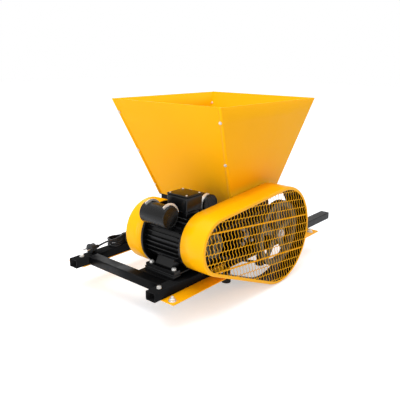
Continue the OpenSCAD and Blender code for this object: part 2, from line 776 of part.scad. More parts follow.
// A bell-shaped end shield with a seat for its bearing; the rear one has the cowl's flange.
flange_l = cowl_y - rear_y;
module end_shield(y, out) difference() {
  union() {
    y_rod(motor_x, y, motor_z, housing_r + 6, shield_t);
    y_rod(motor_x, out < 0 ? y - 10 : y, motor_z, 40, shield_t + 10);
    if (out > 0) y_rod(motor_x, y, motor_z, cowl_r + 1, flange_l);
  }
  y_rod(motor_x, out < 0 ? y + 6 : y - 1, motor_z, core_r - 4, shield_t - 5);
  y_rod(motor_x, y - 20, motor_z, motor_race_r, shield_t + 40);
}

module end_shields() color("#151516") at_frame() {
  end_shield(stator_y - shield_t, -1);
  end_shield(rear_y, 1);
}

bearing_ys = [stator_y - shield_t - 6, rear_y + shield_t - 6];
module motor_bearings() color("silver") at_frame() for (y = bearing_ys) difference() {
  y_rod(motor_x, y, motor_z, motor_race_r, motor_race_w);
  y_rod(motor_x, y - 1, motor_z, motor_shaft_r + running, motor_race_w + 2);
}

module motor_rotor() color("silver") at_frame() {
  y_rod(motor_x, stator_y + 28, motor_z, rotor_r, core_l);
  y_rod(motor_x, -belt_y - 14, motor_z, motor_shaft_r, belt_y + 14 + rear_y + 50);
}

fan_y = rear_y + 32;
fan_blades = 7;
module cooling_fan() color("#303030") at_frame() translate([motor_x, fan_y + 16, motor_z])
  rotate([90, 0, 0]) difference() {
    union() {
      cylinder(r = 24, h = 16);
      cylinder(r = 88, h = 2);
      for (i = [0 : fan_blades - 1]) rotate([0, 0, i * 360 / fan_blades])
        translate([20, -1.5, 1]) cube([65, 3, 14]);
    }
    translate([0, 0, -1]) cylinder(r = motor_shaft_r, h = 20);
  }

// The cowl's back has an inlet grille of ring slots.
module fan_cowl() color("#f5ad16") at_frame() difference() {
  y_rod(motor_x, cowl_y, motor_z, cowl_r, cowl_l);
  y_rod(motor_x, cowl_y - 1, motor_z, cowl_r - cowl_t, cowl_l + 1 - cowl_t);
  for (a = [0 : 30 : 330], r = [34, 52, 70])
    y_rod(motor_x + r * cos(a + r), cowl_y + cowl_l - 5, motor_z + r * sin(a + r), 5, 10);
}

box_x = motor_x - 5 - box_l / 2;

module terminal_box() color("#151516") at_frame() difference() {
  translate([box_x, box_y, box_z]) cube([box_l, box_w, box_h]);
  translate([box_x + 3, box_y + 3, box_z + 3]) cube([box_l - 6, box_w - 6, box_h]);
  y_rod(gland_x, box_y + box_w - 5, gland_z, gland_r, 10);
}

module terminal_box_lid() color("#151516") at_frame()
  translate([box_x, box_y, box_z + box_h]) cube([box_l, box_w, lid_t]);

module capacitor_covers() color("#151516") at_frame() for (x = capacitor_xs)
  y_rod(x, capacitor_y, capacitor_z, capacitor_r, capacitor_l);

// Curved saddles hold each capacitor cover in the housing's cradles.
module capacitor_saddles() color("silver") at_frame()
  for (s = [-1, 1], y = saddle_ys) {
    x = motor_x + s * capacitor_dx;
    difference() {
      y_rod(x, y, capacitor_z, capacitor_r + saddle_t, saddle_w);
      y_rod(x, y - 1, capacitor_z, capacitor_r, saddle_w + 2);
      translate([x + s * 50 - 50 + s * 8, y - 1, capacitor_z - 60]) cube([100, saddle_w + 2, 120]);
    }
  }

tie_n = 4;
tie_r = housing_r - 7;
// Foot bolts, and the bolts that hold the end shields to the housing.
module motor_bolts() color("silver") at_frame() {
  for (x = foot_xs, y = foot_ys) translate([x, y, foot_z + foot_t]) hex_bolt(foot_bolt_d, foot_t + 14);
  for (i = [0 : tie_n - 1]) {
    a = 45 + i * 90;
    y_rod(motor_x + tie_r * cos(a), stator_y - shield_t - 5, motor_z + tie_r * sin(a), 5, 5);
  }
}

/* ---- Cord ---- */

gland_y = box_y + box_w;
gland_nut_l = 8;
relief_l = 24;
module cable_gland() color("#151516") at_frame() difference() {
  union() {
    y_rod(gland_x, gland_y - 8, gland_z, gland_r, 14);
    y_rod(gland_x, gland_y, gland_z, gland_r + 2, gland_nut_l);
    translate([gland_x, gland_y + gland_nut_l, gland_z]) rotate([-90, 0, 0])
      cylinder(r1 = gland_r + 1, r2 = 5, h = relief_l);
  }
  y_rod(gland_x, gland_y - 9, gland_z, cord_d / 2, relief_l + 30);
}

// A tube of n sides swept along a route.
function route_side(p, i) = unit(cross(unit(p[min(i + 1, len(p) - 1)] - p[max(i - 1, 0)]), [0.1, 0.2, 1]));
module swept_tube(p, d, n = 10) {
  rings = [for (i = [0 : len(p) - 1])
    let (t = unit(p[min(i + 1, len(p) - 1)] - p[max(i - 1, 0)]), u = route_side(p, i), v = cross(t, u))
    for (k = [0 : n - 1]) p[i] + d / 2 * (cos(k * 360 / n) * u + sin(k * 360 / n) * v)];
  last = len(p) - 1;
  polyhedron(rings, concat(
    [[for (k = [0 : n - 1]) k]],
    [for (i = [0 : last - 1], k = [0 : n - 1])
      [i * n + k, (i + 1) * n + k, (i + 1) * n + (k + 1) % n, i * n + (k + 1) % n]],
    [[for (k = [n - 1 : -1 : 0]) last * n + k]]));
}

module power_cord() color("#101010") at_frame() {
  swept_tube(cord_out, cord_d);
  swept_tube(cord_tail, cord_d);
}

module cord_hank() color("#101010") at_frame() {
  r = hank_w / 2;
  translate([hank_x, frame_w - tube_w / 2 - r, tube_h]) linear_extrude(hank_h) {
    translate([r, r]) circle(r);
    translate([hank_l - r, r]) circle(r);
    translate([r, 0]) square([hank_l - 2 * r, 2 * r]);
  }
}

// A moulded two-pin plug that lies on the far tube, with its collar, body and pins along -X.
plug_x = 112;
plug_r = 18;
collar_l = 18;
plug_l = 24;
pin_l = 19;
pin_r = 2.4;
pin_gap = 19;
module power_plug() color("#101010") at_frame()
  translate([plug_x, frame_w - tube_w / 2, tube_h + plug_r]) rotate([0, -90, 0]) {
    cylinder(r1 = 6, r2 = 11, h = collar_l);
    translate([0, 0, collar_l]) cylinder(r = plug_r, h = plug_l);
    for (s = [-1, 1]) translate([0, s * pin_gap / 2, collar_l + plug_l]) cylinder(r = pin_r, h = pin_l);
  }

frame_tube_near();
frame_tube_far();
frame_cross_tube();
motor_plate();
base_strip_near();
base_strip_far();
strip_bolts();
frame_bolts();
roller_plate_near();
roller_plate_far();
end_plate_motor_side();
end_plate_outer();
deflector_motor_side();
deflector_outer();
legs();
rubber_feet();
hopper_panel_motor_side();
hopper_panel_near();
hopper_panel_outer();
hopper_panel_far();
hopper_seam_bolts();
hopper_foot_bolts();
bearing_housings();
shaft_bearings();
bearing_bolts();
roller_a();
shaft_a();
gear_a();
roller_b();
shaft_b();
gear_b();
gear_cover();
gear_cover_screws();
roller_pulley();
pulley_nut();
v_belt();
guard_band();
guard_lip();
guard_mesh();
guard_bars();
guard_tabs();
motor_base();
motor_feet();
motor_housing();
stator_core();
end_shields();
motor_bearings();
motor_rotor();
motor_pulley();
cooling_fan();
fan_cowl();
terminal_box();
terminal_box_lid();
capacitor_covers();
capacitor_saddles();
motor_bolts();
cable_gland();
power_cord();
cord_hank();
power_plug();
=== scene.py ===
"""Finishes and detailed pieces for a motor-driven grape crusher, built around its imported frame."""
import json
import math

import bmesh
import bpy
from mathutils import Matrix, Vector

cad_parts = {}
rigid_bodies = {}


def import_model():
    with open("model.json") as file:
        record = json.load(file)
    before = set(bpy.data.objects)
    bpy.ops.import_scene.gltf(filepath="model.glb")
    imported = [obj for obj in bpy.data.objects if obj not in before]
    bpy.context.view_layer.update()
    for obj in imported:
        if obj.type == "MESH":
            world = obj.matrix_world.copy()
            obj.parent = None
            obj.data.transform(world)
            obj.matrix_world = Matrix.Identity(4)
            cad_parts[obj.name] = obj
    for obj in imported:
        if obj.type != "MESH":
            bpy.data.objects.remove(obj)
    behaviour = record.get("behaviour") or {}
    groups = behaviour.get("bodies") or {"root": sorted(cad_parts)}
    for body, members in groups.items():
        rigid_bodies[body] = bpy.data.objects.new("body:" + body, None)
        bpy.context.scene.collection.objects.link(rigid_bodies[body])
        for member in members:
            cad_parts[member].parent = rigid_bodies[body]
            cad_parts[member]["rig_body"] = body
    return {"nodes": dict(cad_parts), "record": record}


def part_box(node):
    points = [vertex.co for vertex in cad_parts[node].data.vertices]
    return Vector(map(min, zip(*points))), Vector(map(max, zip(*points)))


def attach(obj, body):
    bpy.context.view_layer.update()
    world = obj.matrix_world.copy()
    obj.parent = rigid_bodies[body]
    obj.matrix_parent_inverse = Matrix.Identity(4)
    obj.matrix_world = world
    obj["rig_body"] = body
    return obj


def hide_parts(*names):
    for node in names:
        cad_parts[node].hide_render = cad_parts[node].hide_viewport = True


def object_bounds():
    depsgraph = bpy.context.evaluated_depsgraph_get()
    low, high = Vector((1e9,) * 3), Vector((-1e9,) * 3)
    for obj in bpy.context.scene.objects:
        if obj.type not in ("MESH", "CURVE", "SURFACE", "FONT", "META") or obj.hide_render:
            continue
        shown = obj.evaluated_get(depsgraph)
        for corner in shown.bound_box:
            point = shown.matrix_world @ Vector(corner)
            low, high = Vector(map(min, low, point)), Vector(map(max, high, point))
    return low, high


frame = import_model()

bl_info = {
    "name": "Grape Crusher Finisher",
    "version": (1, 0, 0),
    "blender": (4, 5, 0),
    "location": "View3D > Sidebar > Crusher",
    "description": "Models and paints the visible pieces of a motor-driven grape crusher",
    "category": "Object",
}

MM = 0.001
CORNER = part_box("frame_tube_near")[0]
X_AXIS = Vector((1, 0, 0))
Y_AXIS = Vector((0, 1, 0))
Z_AXIS = Vector((0, 0, 1))
MODEL_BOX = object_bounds()


# ---------------------------------------------------------------- places and boxes

def span(node):
    """Lowest and highest corner of a node, in millimetres from the near tube's lowest corner."""
    low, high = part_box(node)
    return (low - CORNER) / MM, (high - CORNER) / MM


def middle(node):
    """Centre of a node's box, in millimetres."""
    low, high = span(node)
    return (low + high) / 2


def merged_copy(node):
    """A copy of a node's mesh, in millimetres, with its loose triangles joined."""
    bm = bmesh.new()
    bm.from_mesh(frame["nodes"][node].data)
    to_mm = Matrix.Scale(1 / MM, 4) @ Matrix.Translation(-CORNER)
    bmesh.ops.transform(bm, matrix=to_mm, verts=bm.verts)
    bmesh.ops.remove_doubles(bm, verts=bm.verts, dist=0.002)
    return bm


def reached(starts):
    """Every vertex joined to the given ones by edges."""
    found = set(starts)
    search = list(starts)
    while search:
        vert = search.pop()
        for edge in vert.link_edges:
            other = edge.other_vert(vert)
            if other not in found:
                found.add(other)
                search.append(other)
    return list(found)


def solids(node):
    """The box of each separate solid in a node, as low and high corners in millimetres."""
    bm = merged_copy(node)
    left = set(bm.verts)
    boxes = []
    while left:
        found = reached([next(iter(left))])
        left.difference_update(found)
        low = Vector([min(v.co[i] for v in found) for i in range(3)])
        high = Vector([max(v.co[i] for v in found) for i in range(3)])
        boxes.append((low, high))
    bm.free()
    return sorted(boxes, key=lambda box: tuple(round(value) for value in box[0]))


def body_of(node):
    return frame["nodes"][node]["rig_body"]


# ---------------------------------------------------------------- shader expressions

class Value:
    """A number on a material's surface that takes part in plain expressions."""

    def __init__(self, finish, socket):
        self.finish = finish
        self.socket = socket

    def _maths(self, operation, first, second):
        return self.finish.node("ShaderNodeMath", {"operation": operation}, {0: first, 1: second})

    def __add__(self, other):
        return self._maths("ADD", self, other)

    def __sub__(self, other):
        return self._maths("SUBTRACT", self, other)

    def __rsub__(self, other):
        return self._maths("SUBTRACT", other, self)

    def __mul__(self, other):
        return self._maths("MULTIPLY", self, other)

    __radd__ = __add__
    __rmul__ = __mul__


# The rays to which the floor and the room look white.
SEEN_RAYS = ("Is Camera Ray", "Is Glossy Ray", "Is Transmission Ray")


class Nodes:
    """A tree that ends in one shader, with its nodes added by name, settings and sockets."""

    def __init__(self, owner, shader):
        owner.use_nodes = True
        self.tree = owner.node_tree
        self.shader = self.tree.nodes[shader]

    def node(self, kind, settings, sockets, output=0):
        made = self.tree.nodes.new(kind)
        for name, value in settings.items():
            if name == "stops":
                self._set_stops(made.color_ramp, value)
            else:
                setattr(made, name, value)
        for name, value in sockets.items():
            if isinstance(value, Value):
                self.tree.links.new(value.socket, made.inputs[name])
            else:
                made.inputs[name].default_value = value
        return Value(self, made.outputs[output])

    @staticmethod
    def _set_stops(ramp, stops):
        while len(ramp.elements) < len(stops):
            ramp.elements.new(0.5)
        for element, (position, level) in zip(ramp.elements, stops):
            element.position = position
            element.color = (level, level, level, 1)

    def feed(self, socket, value):
        self.tree.links.new(value.socket, self.shader.inputs[socket])

    def mix(self, share, first, second):
        """A colour between two colours."""
        return self.node(
            "ShaderNodeMix", {"data_type": "RGBA"}, {0: share, 6: first, 7: second}, 2)

    def seen(self):
        """1 for the rays to which the stage looks white, and 0 for the rest."""
        return sum(self.node("ShaderNodeLightPath", {}, {}, ray) for ray in SEEN_RAYS)


class Finish(Nodes):
    """One material on a Principled shader, with the patterns that the finishes share."""

    def __init__(self, name, roughness=0.5, **fixed):
        self.material = bpy.data.materials.new(name)
        super().__init__(self.material, "Principled BSDF")
        self.shader.inputs["Roughness"].default_value = roughness
        for socket, value in fixed.items():
            self.shader.inputs[socket.replace("_", " ")].default_value = value
        self.place = None

    def where(self):
        """The piece's own coordinates, in metres."""
        if self.place is None:
            self.place = self.node("ShaderNodeTexCoord", {}, {}, "Object")
        return self.place

    def stretched(self, scale):
        """Coordinates squeezed along the axes, so that a pattern runs along one of them."""
        return self.node("ShaderNodeMapping", {}, {"Vector": self.where(), "Scale": scale})

    def noise(self, scale, detail=2.0, rough=0.5, place=None):
        return self.node(
            "ShaderNodeTexNoise", {},
            {"Vector": place or self.where(), "Scale": scale, "Detail": detail, "Roughness": rough})

    def ramp(self, value, stops):
        return self.node("ShaderNodeValToRGB", {"stops": stops}, {0: value})

    def bump(self, height, depth, edge=0.0):
        """Feeds a height map into the shader's normal, over edges rounded to a radius in metres."""
        sockets = {"Height": height, "Distance": depth, "Strength": 1.0}
        if edge:
            sockets["Normal"] = self.node("ShaderNodeBevel", {"samples": 4}, {"Radius": edge})
        self.feed("Normal", self.node("ShaderNodeBump", {}, sockets))


def rgb(code):
    """A linear colour from a web colour code."""
    parts = [int(code[i:i + 2], 16) / 255 for i in (1, 3, 5)]
    return (*[(c / 12.92 if c < 0.04045 else ((c + 0.055) / 1.055) ** 2.4) for c in parts], 1)


def darker(colour, share):
    return (*[c * share for c in colour[:3]], 1)


# ---------------------------------------------------------------- finishes

def sprayed_paint(name, colour, roughness, peel, edge, coat, sheen=0.2):
    """Sprayed paint with faint orange peel, slow tone drift and a little dust in its gloss."""
    paint = Finish(name, Coat_Weight=coat, Coat_Roughness=0.1, Specular_IOR_Level=sheen)
    drift = paint.noise(5.0, 3.0)
    paint.feed("Base Color", paint.mix(drift, darker(colour, 0.96), darker(colour, 1.03)))
    dust = paint.ramp(paint.noise(38.0, 5.0, 0.65), ((0.35, 0.0), (0.75, 1.0)))
    paint.feed("Roughness", dust * 0.1 + roughness)
    paint.bump(paint.noise(420.0, 2.0), peel, edge)
    return paint.material


def cast_paint(name, colour, roughness, edge):
    """Thick paint over a sand casting: coarse soft grain and worn, duller high spots."""
    paint = Finish(name, Coat_Weight=0.15, Coat_Roughness=0.2, Specular_IOR_Level=0.3)
    grain = paint.noise(260.0, 5.0, 0.6)
    paint.feed("Base Color", paint.mix(grain, darker(colour, 0.7), darker(colour, 1.5)))
    paint.feed("Roughness", paint.noise(60.0, 3.0) * 0.25 + roughness)
    paint.bump(grain, 0.00006, edge)
    return paint.material


def bright_metal(name, colour, roughness, edge, scale=(1, 1, 1), metallic=0.94):
    """Plated or machined metal whose tool marks run along the axis with the smallest scale."""
    metal = Finish(name)
    metal.feed("Metallic", metal.noise(30.0, 2.0) * 0.04 + metallic)
    marks = metal.noise(900.0, 3.0, 0.7, metal.stretched(scale))
    tone = metal.noise(45.0, 4.0)
    metal.feed("Base Color", metal.mix(tone, darker(colour, 0.88), darker(colour, 1.12)))
    metal.feed("Roughness", marks * 0.22 + (roughness - 0.08))
    metal.bump(marks, 0.00004, edge)
    return metal.material


def iron(name, colour, roughness, edge, metallic=0.85):
    """Machined grey iron with a mottled skin and a trace of rust bloom in its low spots."""
    metal = Finish(name)
    mottle = metal.noise(140.0, 6.0, 0.7)
    bloom = metal.ramp(metal.noise(22.0, 5.0, 0.6), ((0.55, 0.0), (0.8, 1.0)))
    skin = metal.mix(mottle, darker(colour, 0.7), darker(colour, 1.25))
    metal.feed("Base Color", metal.mix(bloom * 0.35, skin, rgb("#6e5138")))
    metal.feed("Metallic", metallic - bloom * 0.3)
    metal.feed("Roughness", mottle * 0.3 + roughness)
    metal.bump(mottle, 0.00004, edge)
    return metal.material


def moulded(name, colour, roughness, grain_scale, grain_depth, edge, sheen=0.35):
    """Moulded plastic or rubber with a fine spark-eroded grain."""
    plastic = Finish(name, Specular_IOR_Level=sheen)
    grain = plastic.noise(grain_scale, 3.0, 0.6)
    tone = plastic.noise(14.0, 3.0)
    plastic.feed("Base Color", plastic.mix(tone, darker(colour, 0.8), darker(colour, 1.25)))
    plastic.feed("Roughness", grain * 0.16 + roughness)
    plastic.bump(grain, grain_depth, edge)
    return plastic.material


def laminated(name, colour):
    """Stacked steel sheets, seen as thin lines across the core's length."""
    metal = Finish(name, Metallic=0.9)
    wave = metal.node(
        "ShaderNodeTexWave", {"wave_type": "BANDS", "bands_direction": "Y"},
        {"Vector": metal.where(), "Scale": 300.0, "Distortion": 0.2})
    metal.feed("Base Color", metal.mix(wave, darker(colour, 0.55), colour))
    metal.feed("Roughness", wave * 0.1 + 0.35)
    metal.bump(wave, 0.0001)
    return metal.material


YELLOW = rgb("#ffb404")
BLACK = rgb("#0b0b0c")


def make_finishes(colours):
    """Every finish by the name of the record's material slot that it stands for."""
    yellow = tuple(colours.paint)
    black = tuple(colours.frame_paint)
    motor = tuple(colours.motor_paint)
    across_y = (1.0, 0.03, 1.0)
    return {
        "tube_paint": sprayed_paint("satin_black_tube", black, 0.38, 0.00001, 0.0012, 0.02, 0.07),
        "body_paint": sprayed_paint("yellow_body", yellow, 0.36, 0.00001, 0.0008, 0.04),
        "hopper_paint": sprayed_paint("yellow_hopper", yellow, 0.42, 0.00001, 0.0006, 0.01, 0.08),
        "guard_paint": sprayed_paint("yellow_guard", yellow, 0.32, 0.000008, 0.0006, 0.08, 0.1),
        "zinc": bright_metal("zinc_plate", rgb("#dedcd8"), 0.4, 0.0004, metallic=0.6),
        "rubber": moulded("black_rubber", rgb("#1c1c1c"), 0.62, 500.0, 0.00002, 0.001),
        "belt": moulded("belt_rubber", rgb("#171716"), 0.6, 900.0, 0.00002, 0.0005),
        "sheet_steel": bright_metal("brushed_sheet", rgb("#b9babc"), 0.34, 0.0005, across_y),
        "cast_housing": cast_paint("painted_casting", rgb("#2c2f31"), 0.42, 0.0015),
        "bearing_steel": bright_metal("ground_ring", rgb("#c4c4c4"), 0.2, 0.0004),
        "roller_iron": iron("roller_iron", rgb("#a4a5a5"), 0.32, 0.0006),
        "shaft_steel": bright_metal("turned_shaft", rgb("#b8b8b8"), 0.24, 0.0006, (1.0, 12.0, 1.0)),
        "gear_steel": iron("oiled_gear", rgb("#77797b"), 0.22, 0.0003),
        "pulley_iron": iron("pulley_iron", rgb("#6f6a58"), 0.5, 0.0008, 0.35),
        "motor_paint": sprayed_paint("gloss_black_motor", motor, 0.28, 0.000008, 0.0008, 0.2, 0.16),
        "core_steel": laminated("stator_sheets", rgb("#8b8c8d")),
        "fan_plastic": moulded("fan_plastic", rgb("#242424"), 0.45, 700.0, 0.00001, 0.0005),
        "capacitor_plastic": moulded("gloss_cover", rgb("#0a0a0a"), 0.2, 350.0, 0.000005, 0.0008, 0.25),
        "cord": moulded("cord_jacket", rgb("#121213"), 0.42, 650.0, 0.00001, 0.0),
    }


FINISHES = {}

# The record's material slot of each node.
SLOTS = {part["node"]: part["material_slot"] for part in frame["record"]["subparts"]}


# ---------------------------------------------------------------- modelling helpers

# Thickness of the sheet of the hopper, guard and gear cover, and of the tubes' walls.
SHEET = 2.0


def piece(name, bm, *nodes, slot=None, sharp=38.0, shell=0.0, rim=None):
    """Makes a piece of a mesh drawn in millimetres, which stands for some nodes and rides with them.

    sharp is the angle past which an edge stays crisp, shell the wall's thickness, and rim the
    slot that colours the wall's inside and its cut edges.
    """
    to_frame = Matrix.Translation(CORNER) @ Matrix.Scale(MM, 4)
    bmesh.ops.transform(bm, matrix=to_frame, verts=bm.verts)
    mesh = bpy.data.meshes.new(name)
    bm.to_mesh(mesh)
    bm.free()
    mesh.shade_smooth()
    mesh.set_sharp_from_angle(angle=math.radians(sharp))
    made = bpy.data.objects.new(name, mesh)
    bpy.context.scene.collection.objects.link(made)
    slot = slot or SLOTS[nodes[0]]
    made.data.materials.append(FINISHES[slot])
    if rim:
        made.data.materials.append(FINISHES[rim])
    if shell:
        wall = made.modifiers.new("wall", "SOLIDIFY")
        wall.thickness = shell * MM
        wall.offset = -1.0
        wall.use_even_offset = True
        wall.material_offset = 1 if rim else 0
    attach(made, body_of(nodes[0]))
    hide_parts(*nodes)
    return made


def place(bm, verts, at, axis=Z_AXIS, turn=0.0):
    """Turns new vertices from +Z to an axis, after a turn about +Z, and moves them to a point."""
    look = Z_AXIS.rotation_difference(Vector(axis)).to_matrix().to_4x4()
    spun_about = Matrix.Rotation(math.radians(turn), 4, "Z")
    bmesh.ops.transform(bm, matrix=Matrix.Translation(Vector(at)) @ look @ spun_about, verts=verts)


def rounded(bm, edges, radius, steps=2):
    bmesh.ops.bevel(bm, geom=list(edges), offset=radius, offset_type="OFFSET", affect="EDGES",
                    segments=steps, profile=0.5, material=-1, clamp_overlap=True)


def block(bm, low, high, radius=0.0, steps=2):
    """A box between two corners with all its edges rounded."""
    low, high = Vector(low), Vector(high)
    made = bmesh.ops.create_cube(bm, size=1.0)["verts"]
    size = high - low
    bmesh.ops.scale(bm, vec=size, verts=made)
    bmesh.ops.translate(bm, vec=(low + high) / 2, verts=made)
    if radius:
        edges = {edge for vert in made for edge in vert.link_edges}
        rounded(bm, edges, radius, steps)


def slab(name, node, low, high, radius, steps=2):
    """A piece that is one rounded block."""
    bm = bmesh.new()
    block(bm, low, high, radius, steps)
    piece(name, bm, node)


def sleeve(bm, low, high, axis, radius, steps, closed_end=False):
    """A box that is open along one axis, or shut at its far end, with its long edges rounded."""
    block(bm, low, high)
    ends = [face for face in bm.faces
            if face.normal[axis] < -0.9 or (face.normal[axis] > 0.9 and not closed_end)]
    bmesh.ops.delete(bm, geom=ends, context="FACES_ONLY")
    long_edges = [edge for edge in bm.edges if abs((edge.verts[0].co - edge.verts[1].co)[axis]) > 1]
    rounded(bm, long_edges, radius, steps)


def drawn_since(bm, before):
    return [vert for vert in bm.verts if vert not in before]


def swung(bm, before, degrees, at):
    """Turns what was drawn since a set of vertices about +Y, and moves it to a point."""
    turn = Matrix.Rotation(math.radians(degrees), 4, "Y")
    bmesh.ops.transform(bm, matrix=Matrix.Translation(at) @ turn, verts=drawn_since(bm, before))


def swept(bm, geom, centre, axis, angle, steps, merge=False):
    """Spins geometry about an axis and returns the last copy of it."""
    return bmesh.ops.spin(bm, geom=geom, cent=centre, axis=axis, dvec=(0, 0, 0), angle=angle,
                          steps=steps, use_merge=merge, use_duplicate=False)["geom_last"]


def faces_at(verts):
    return list({face for vert in verts for face in vert.link_faces})


def turned(bm, profile, at, axis=Y_AXIS, steps=48):
    """A solid of revolution: profile holds (distance along the axis, radius) from end to end."""
    verts = [bm.verts.new((radius, 0, along)) for along, radius in profile]
    edges = [bm.edges.new(pair) for pair in zip(verts, verts[1:])]
    swept(bm, verts + edges, (0, 0, 0), Z_AXIS, math.tau, steps, merge=True)
    made = reached(verts)
    bmesh.ops.remove_doubles(bm, verts=made, dist=1e-4)
    made = reached([vert for vert in verts if vert.is_valid])
    bmesh.ops.recalc_face_normals(bm, faces=faces_at(made))
    place(bm, made, at, axis)


def prism(bm, sides, radius, length):
    """An upright prism or cylinder that stands on the XY plane."""
    made = bmesh.ops.create_cone(bm, cap_ends=True, cap_tris=False, segments=sides, radius1=radius,
                                 radius2=radius, depth=length)["verts"]
    bmesh.ops.translate(bm, vec=(0, 0, length / 2), verts=made)
    return made


def rod(bm, at, radius, length, axis=Z_AXIS, sides=24, soft=0.0, turn=0.0):
    """A straight rod from a point along an axis, with its end rims rounded."""
    made = prism(bm, sides, radius, length)
    place(bm, made, at, axis, turn)
    if soft:
        rims = {edge for face in faces_at(made) if len(face.verts) == sides for edge in face.edges}
        rounded(bm, rims, soft, 2)


def hex_head(bm, at, across, height, axis=Z_AXIS, turn=0.0):
    """A hexagon head or nut whose top corners are chamfered as if turned."""
    made = prism(bm, 6, across * 0.577, height)
    caps = [face for face in faces_at(made) if len(face.verts) == 6]
    top = max(caps, key=lambda face: face.calc_center_median().z)
    bmesh.ops.inset_individual(bm, faces=[top], thickness=across * 0.07, depth=0)
    bmesh.ops.translate(bm, vec=(0, 0, height * 0.12), verts=top.verts)
    place(bm, reached(top.verts), at, axis, turn)


def washer(bm, at, hole, radius, thick, axis=Z_AXIS):
    soft = thick * 0.25
    profile = [(0, hole), (0, radius - soft), (soft, radius), (thick - soft, radius),
               (thick, radius - soft), (thick, hole), (0, hole)]
    turned(bm, profile, at, axis, 32)


def headed(bm, at, hole, radius, thick, across, height, axis=Z_AXIS, turn=0.0):
    """A washer on a face with a hexagon head or nut on top."""
    washer(bm, at, hole, radius, thick, axis)
    hex_head(bm, Vector(at) + axis * thick, across, height, axis, turn)


def thread(bm, at, radius, length, pitch, axis=Z_AXIS):
    """A threaded shank as stacked V ridges that end in a chamfer."""
    count = max(2, round(length / pitch))
    profile = [(0, 0), (0, radius * 0.98)]
    for i in range(count):
        start = i * length / count
        profile += [(start + length / count * 0.5, radius * 0.84), (start + length / count, radius)]
    profile += [(length + pitch * 0.6, radius * 0.7), (length + pitch * 0.6, 0)]
    turned(bm, profile, at, axis, 20)


def arc(centre, radius, start, end, steps):
    """Points (along, radius) on a quarter or other arc, for a turned profile, in degrees."""
    return [(centre[0] + radius * math.sin(math.radians(start + (end - start) * i / steps)),
             centre[1] + radius * math.cos(math.radians(start + (end - start) * i / steps)))
            for i in range(steps + 1)]


# ---------------------------------------------------------------- belt drive and guard outline

MOTOR_LOW, MOTOR_HIGH = span("motor_pulley")
BIG_LOW, BIG_HIGH = span("roller_pulley")
MOTOR_X = (MOTOR_LOW.x + MOTOR_HIGH.x) / 2
MOTOR_Z = (MOTOR_LOW.z + MOTOR_HIGH.z) / 2
ROLLER_X = (BIG_LOW.x + BIG_HIGH.x) / 2
ROLLER_Z = (BIG_LOW.z + BIG_HIGH.z) / 2
BELT_Y = (span("v_belt")[0].y + span("v_belt")[1].y) / 2

# Pitch radii of the motor's pulley and the roller's, whose rims stand over the belt's pitch line.
RIM_OVER_PITCH = 5
PULLEY_R = (MOTOR_HIGH.z - MOTOR_LOW.z) / 2 - RIM_OVER_PITCH
WHEEL_R = (BIG_HIGH.z - BIG_LOW.z) / 2 - RIM_OVER_PITCH
PULLEY_HALF = 11.0
SHAFT_BORE_R = 12.6

BAND_LOW, BAND_HIGH = span("guard_band")
LIP_LOW, LIP_HIGH = span("guard_lip")
BIG_R = (BAND_HIGH.z - BAND_LOW.z) / 2
BIG_CENTRE = (BAND_HIGH.x - BIG_R, BAND_LOW.z + BIG_R)
SMALL_CENTRE = (MOTOR_X - 2, MOTOR_Z + 8)
SMALL_R = SMALL_CENTRE[0] - BAND_LOW.x


def pear_arcs(first, first_r, second, second_r):
    """Centre, radius, start and sweep of the two arcs of a line stretched round two circles."""
    run, rise = second[0] - first[0], second[1] - first[1]
    tilt = math.atan2(rise, run)
    half = math.acos((first_r - second_r) / math.hypot(run, rise))
    return ((first, first_r, tilt + half, math.tau - 2 * half),
            (second, second_r, tilt - half, 2 * half))


def pear_loop(bm, arcs, y, steps=28):
    """A closed loop of edges along two arcs and the lines that join them."""
    edges = []
    ends = []
    for centre, radius, start, sweep in arcs:
        spot = (centre[0] + radius * math.cos(start), y, centre[1] + radius * math.sin(start))
        begin = bm.verts.new(spot)
        last = swept(bm, [begin], (centre[0], y, centre[1]), -Y_AXIS, sweep, steps)
        end = next(item for item in last if isinstance(item, bmesh.types.BMVert))
        ends.append((begin, end))
        edges += {edge for vert in reached([begin]) for edge in vert.link_edges}
    edges.append(bm.edges.new((ends[0][1], ends[1][0])))
    edges.append(bm.edges.new((ends[1][1], ends[0][0])))
    return edges


def guard_arcs(inset):
    return pear_arcs(SMALL_CENTRE, SMALL_R - inset, BIG_CENTRE, BIG_R - inset)


def belt_arcs(grow):
    return pear_arcs((MOTOR_X, MOTOR_Z), PULLEY_R + grow, (ROLLER_X, ROLLER_Z), WHEEL_R + grow)


def bridged(bm, loops, closed=False):
    """Skins consecutive loops of edges with faces."""
    pairs = list(zip(loops, loops[1:]))
    if closed:
        pairs.append((loops[-1], loops[0]))
    for one, other in pairs:
        bmesh.ops.bridge_loops(bm, edges=list(one) + list(other))
    bmesh.ops.recalc_face_normals(bm, faces=bm.faces)


# ---------------------------------------------------------------- settings

def colour_setting(name, description, default):
    return bpy.props.FloatVectorProperty(name=name, description=description, subtype="COLOR", size=4,
                                         min=0, max=1, default=default)


def length_setting(name, description, default, lowest, highest):
    return bpy.props.FloatProperty(name=name, description=description, default=default, min=lowest,
                                   max=highest, subtype="DISTANCE", unit="LENGTH", precision=4)


class CrusherColours(bpy.types.PropertyGroup):
    paint: colour_setting("Sheet paint", "Colour of the hopper, guard and base strips", YELLOW)
    frame_paint: colour_setting("Tube paint", "Colour of the box tubes and the motor plate", BLACK)
    motor_paint: colour_setting("Motor paint", "Colour of the motor's castings and boxes",
                                rgb("#0a0a0b"))


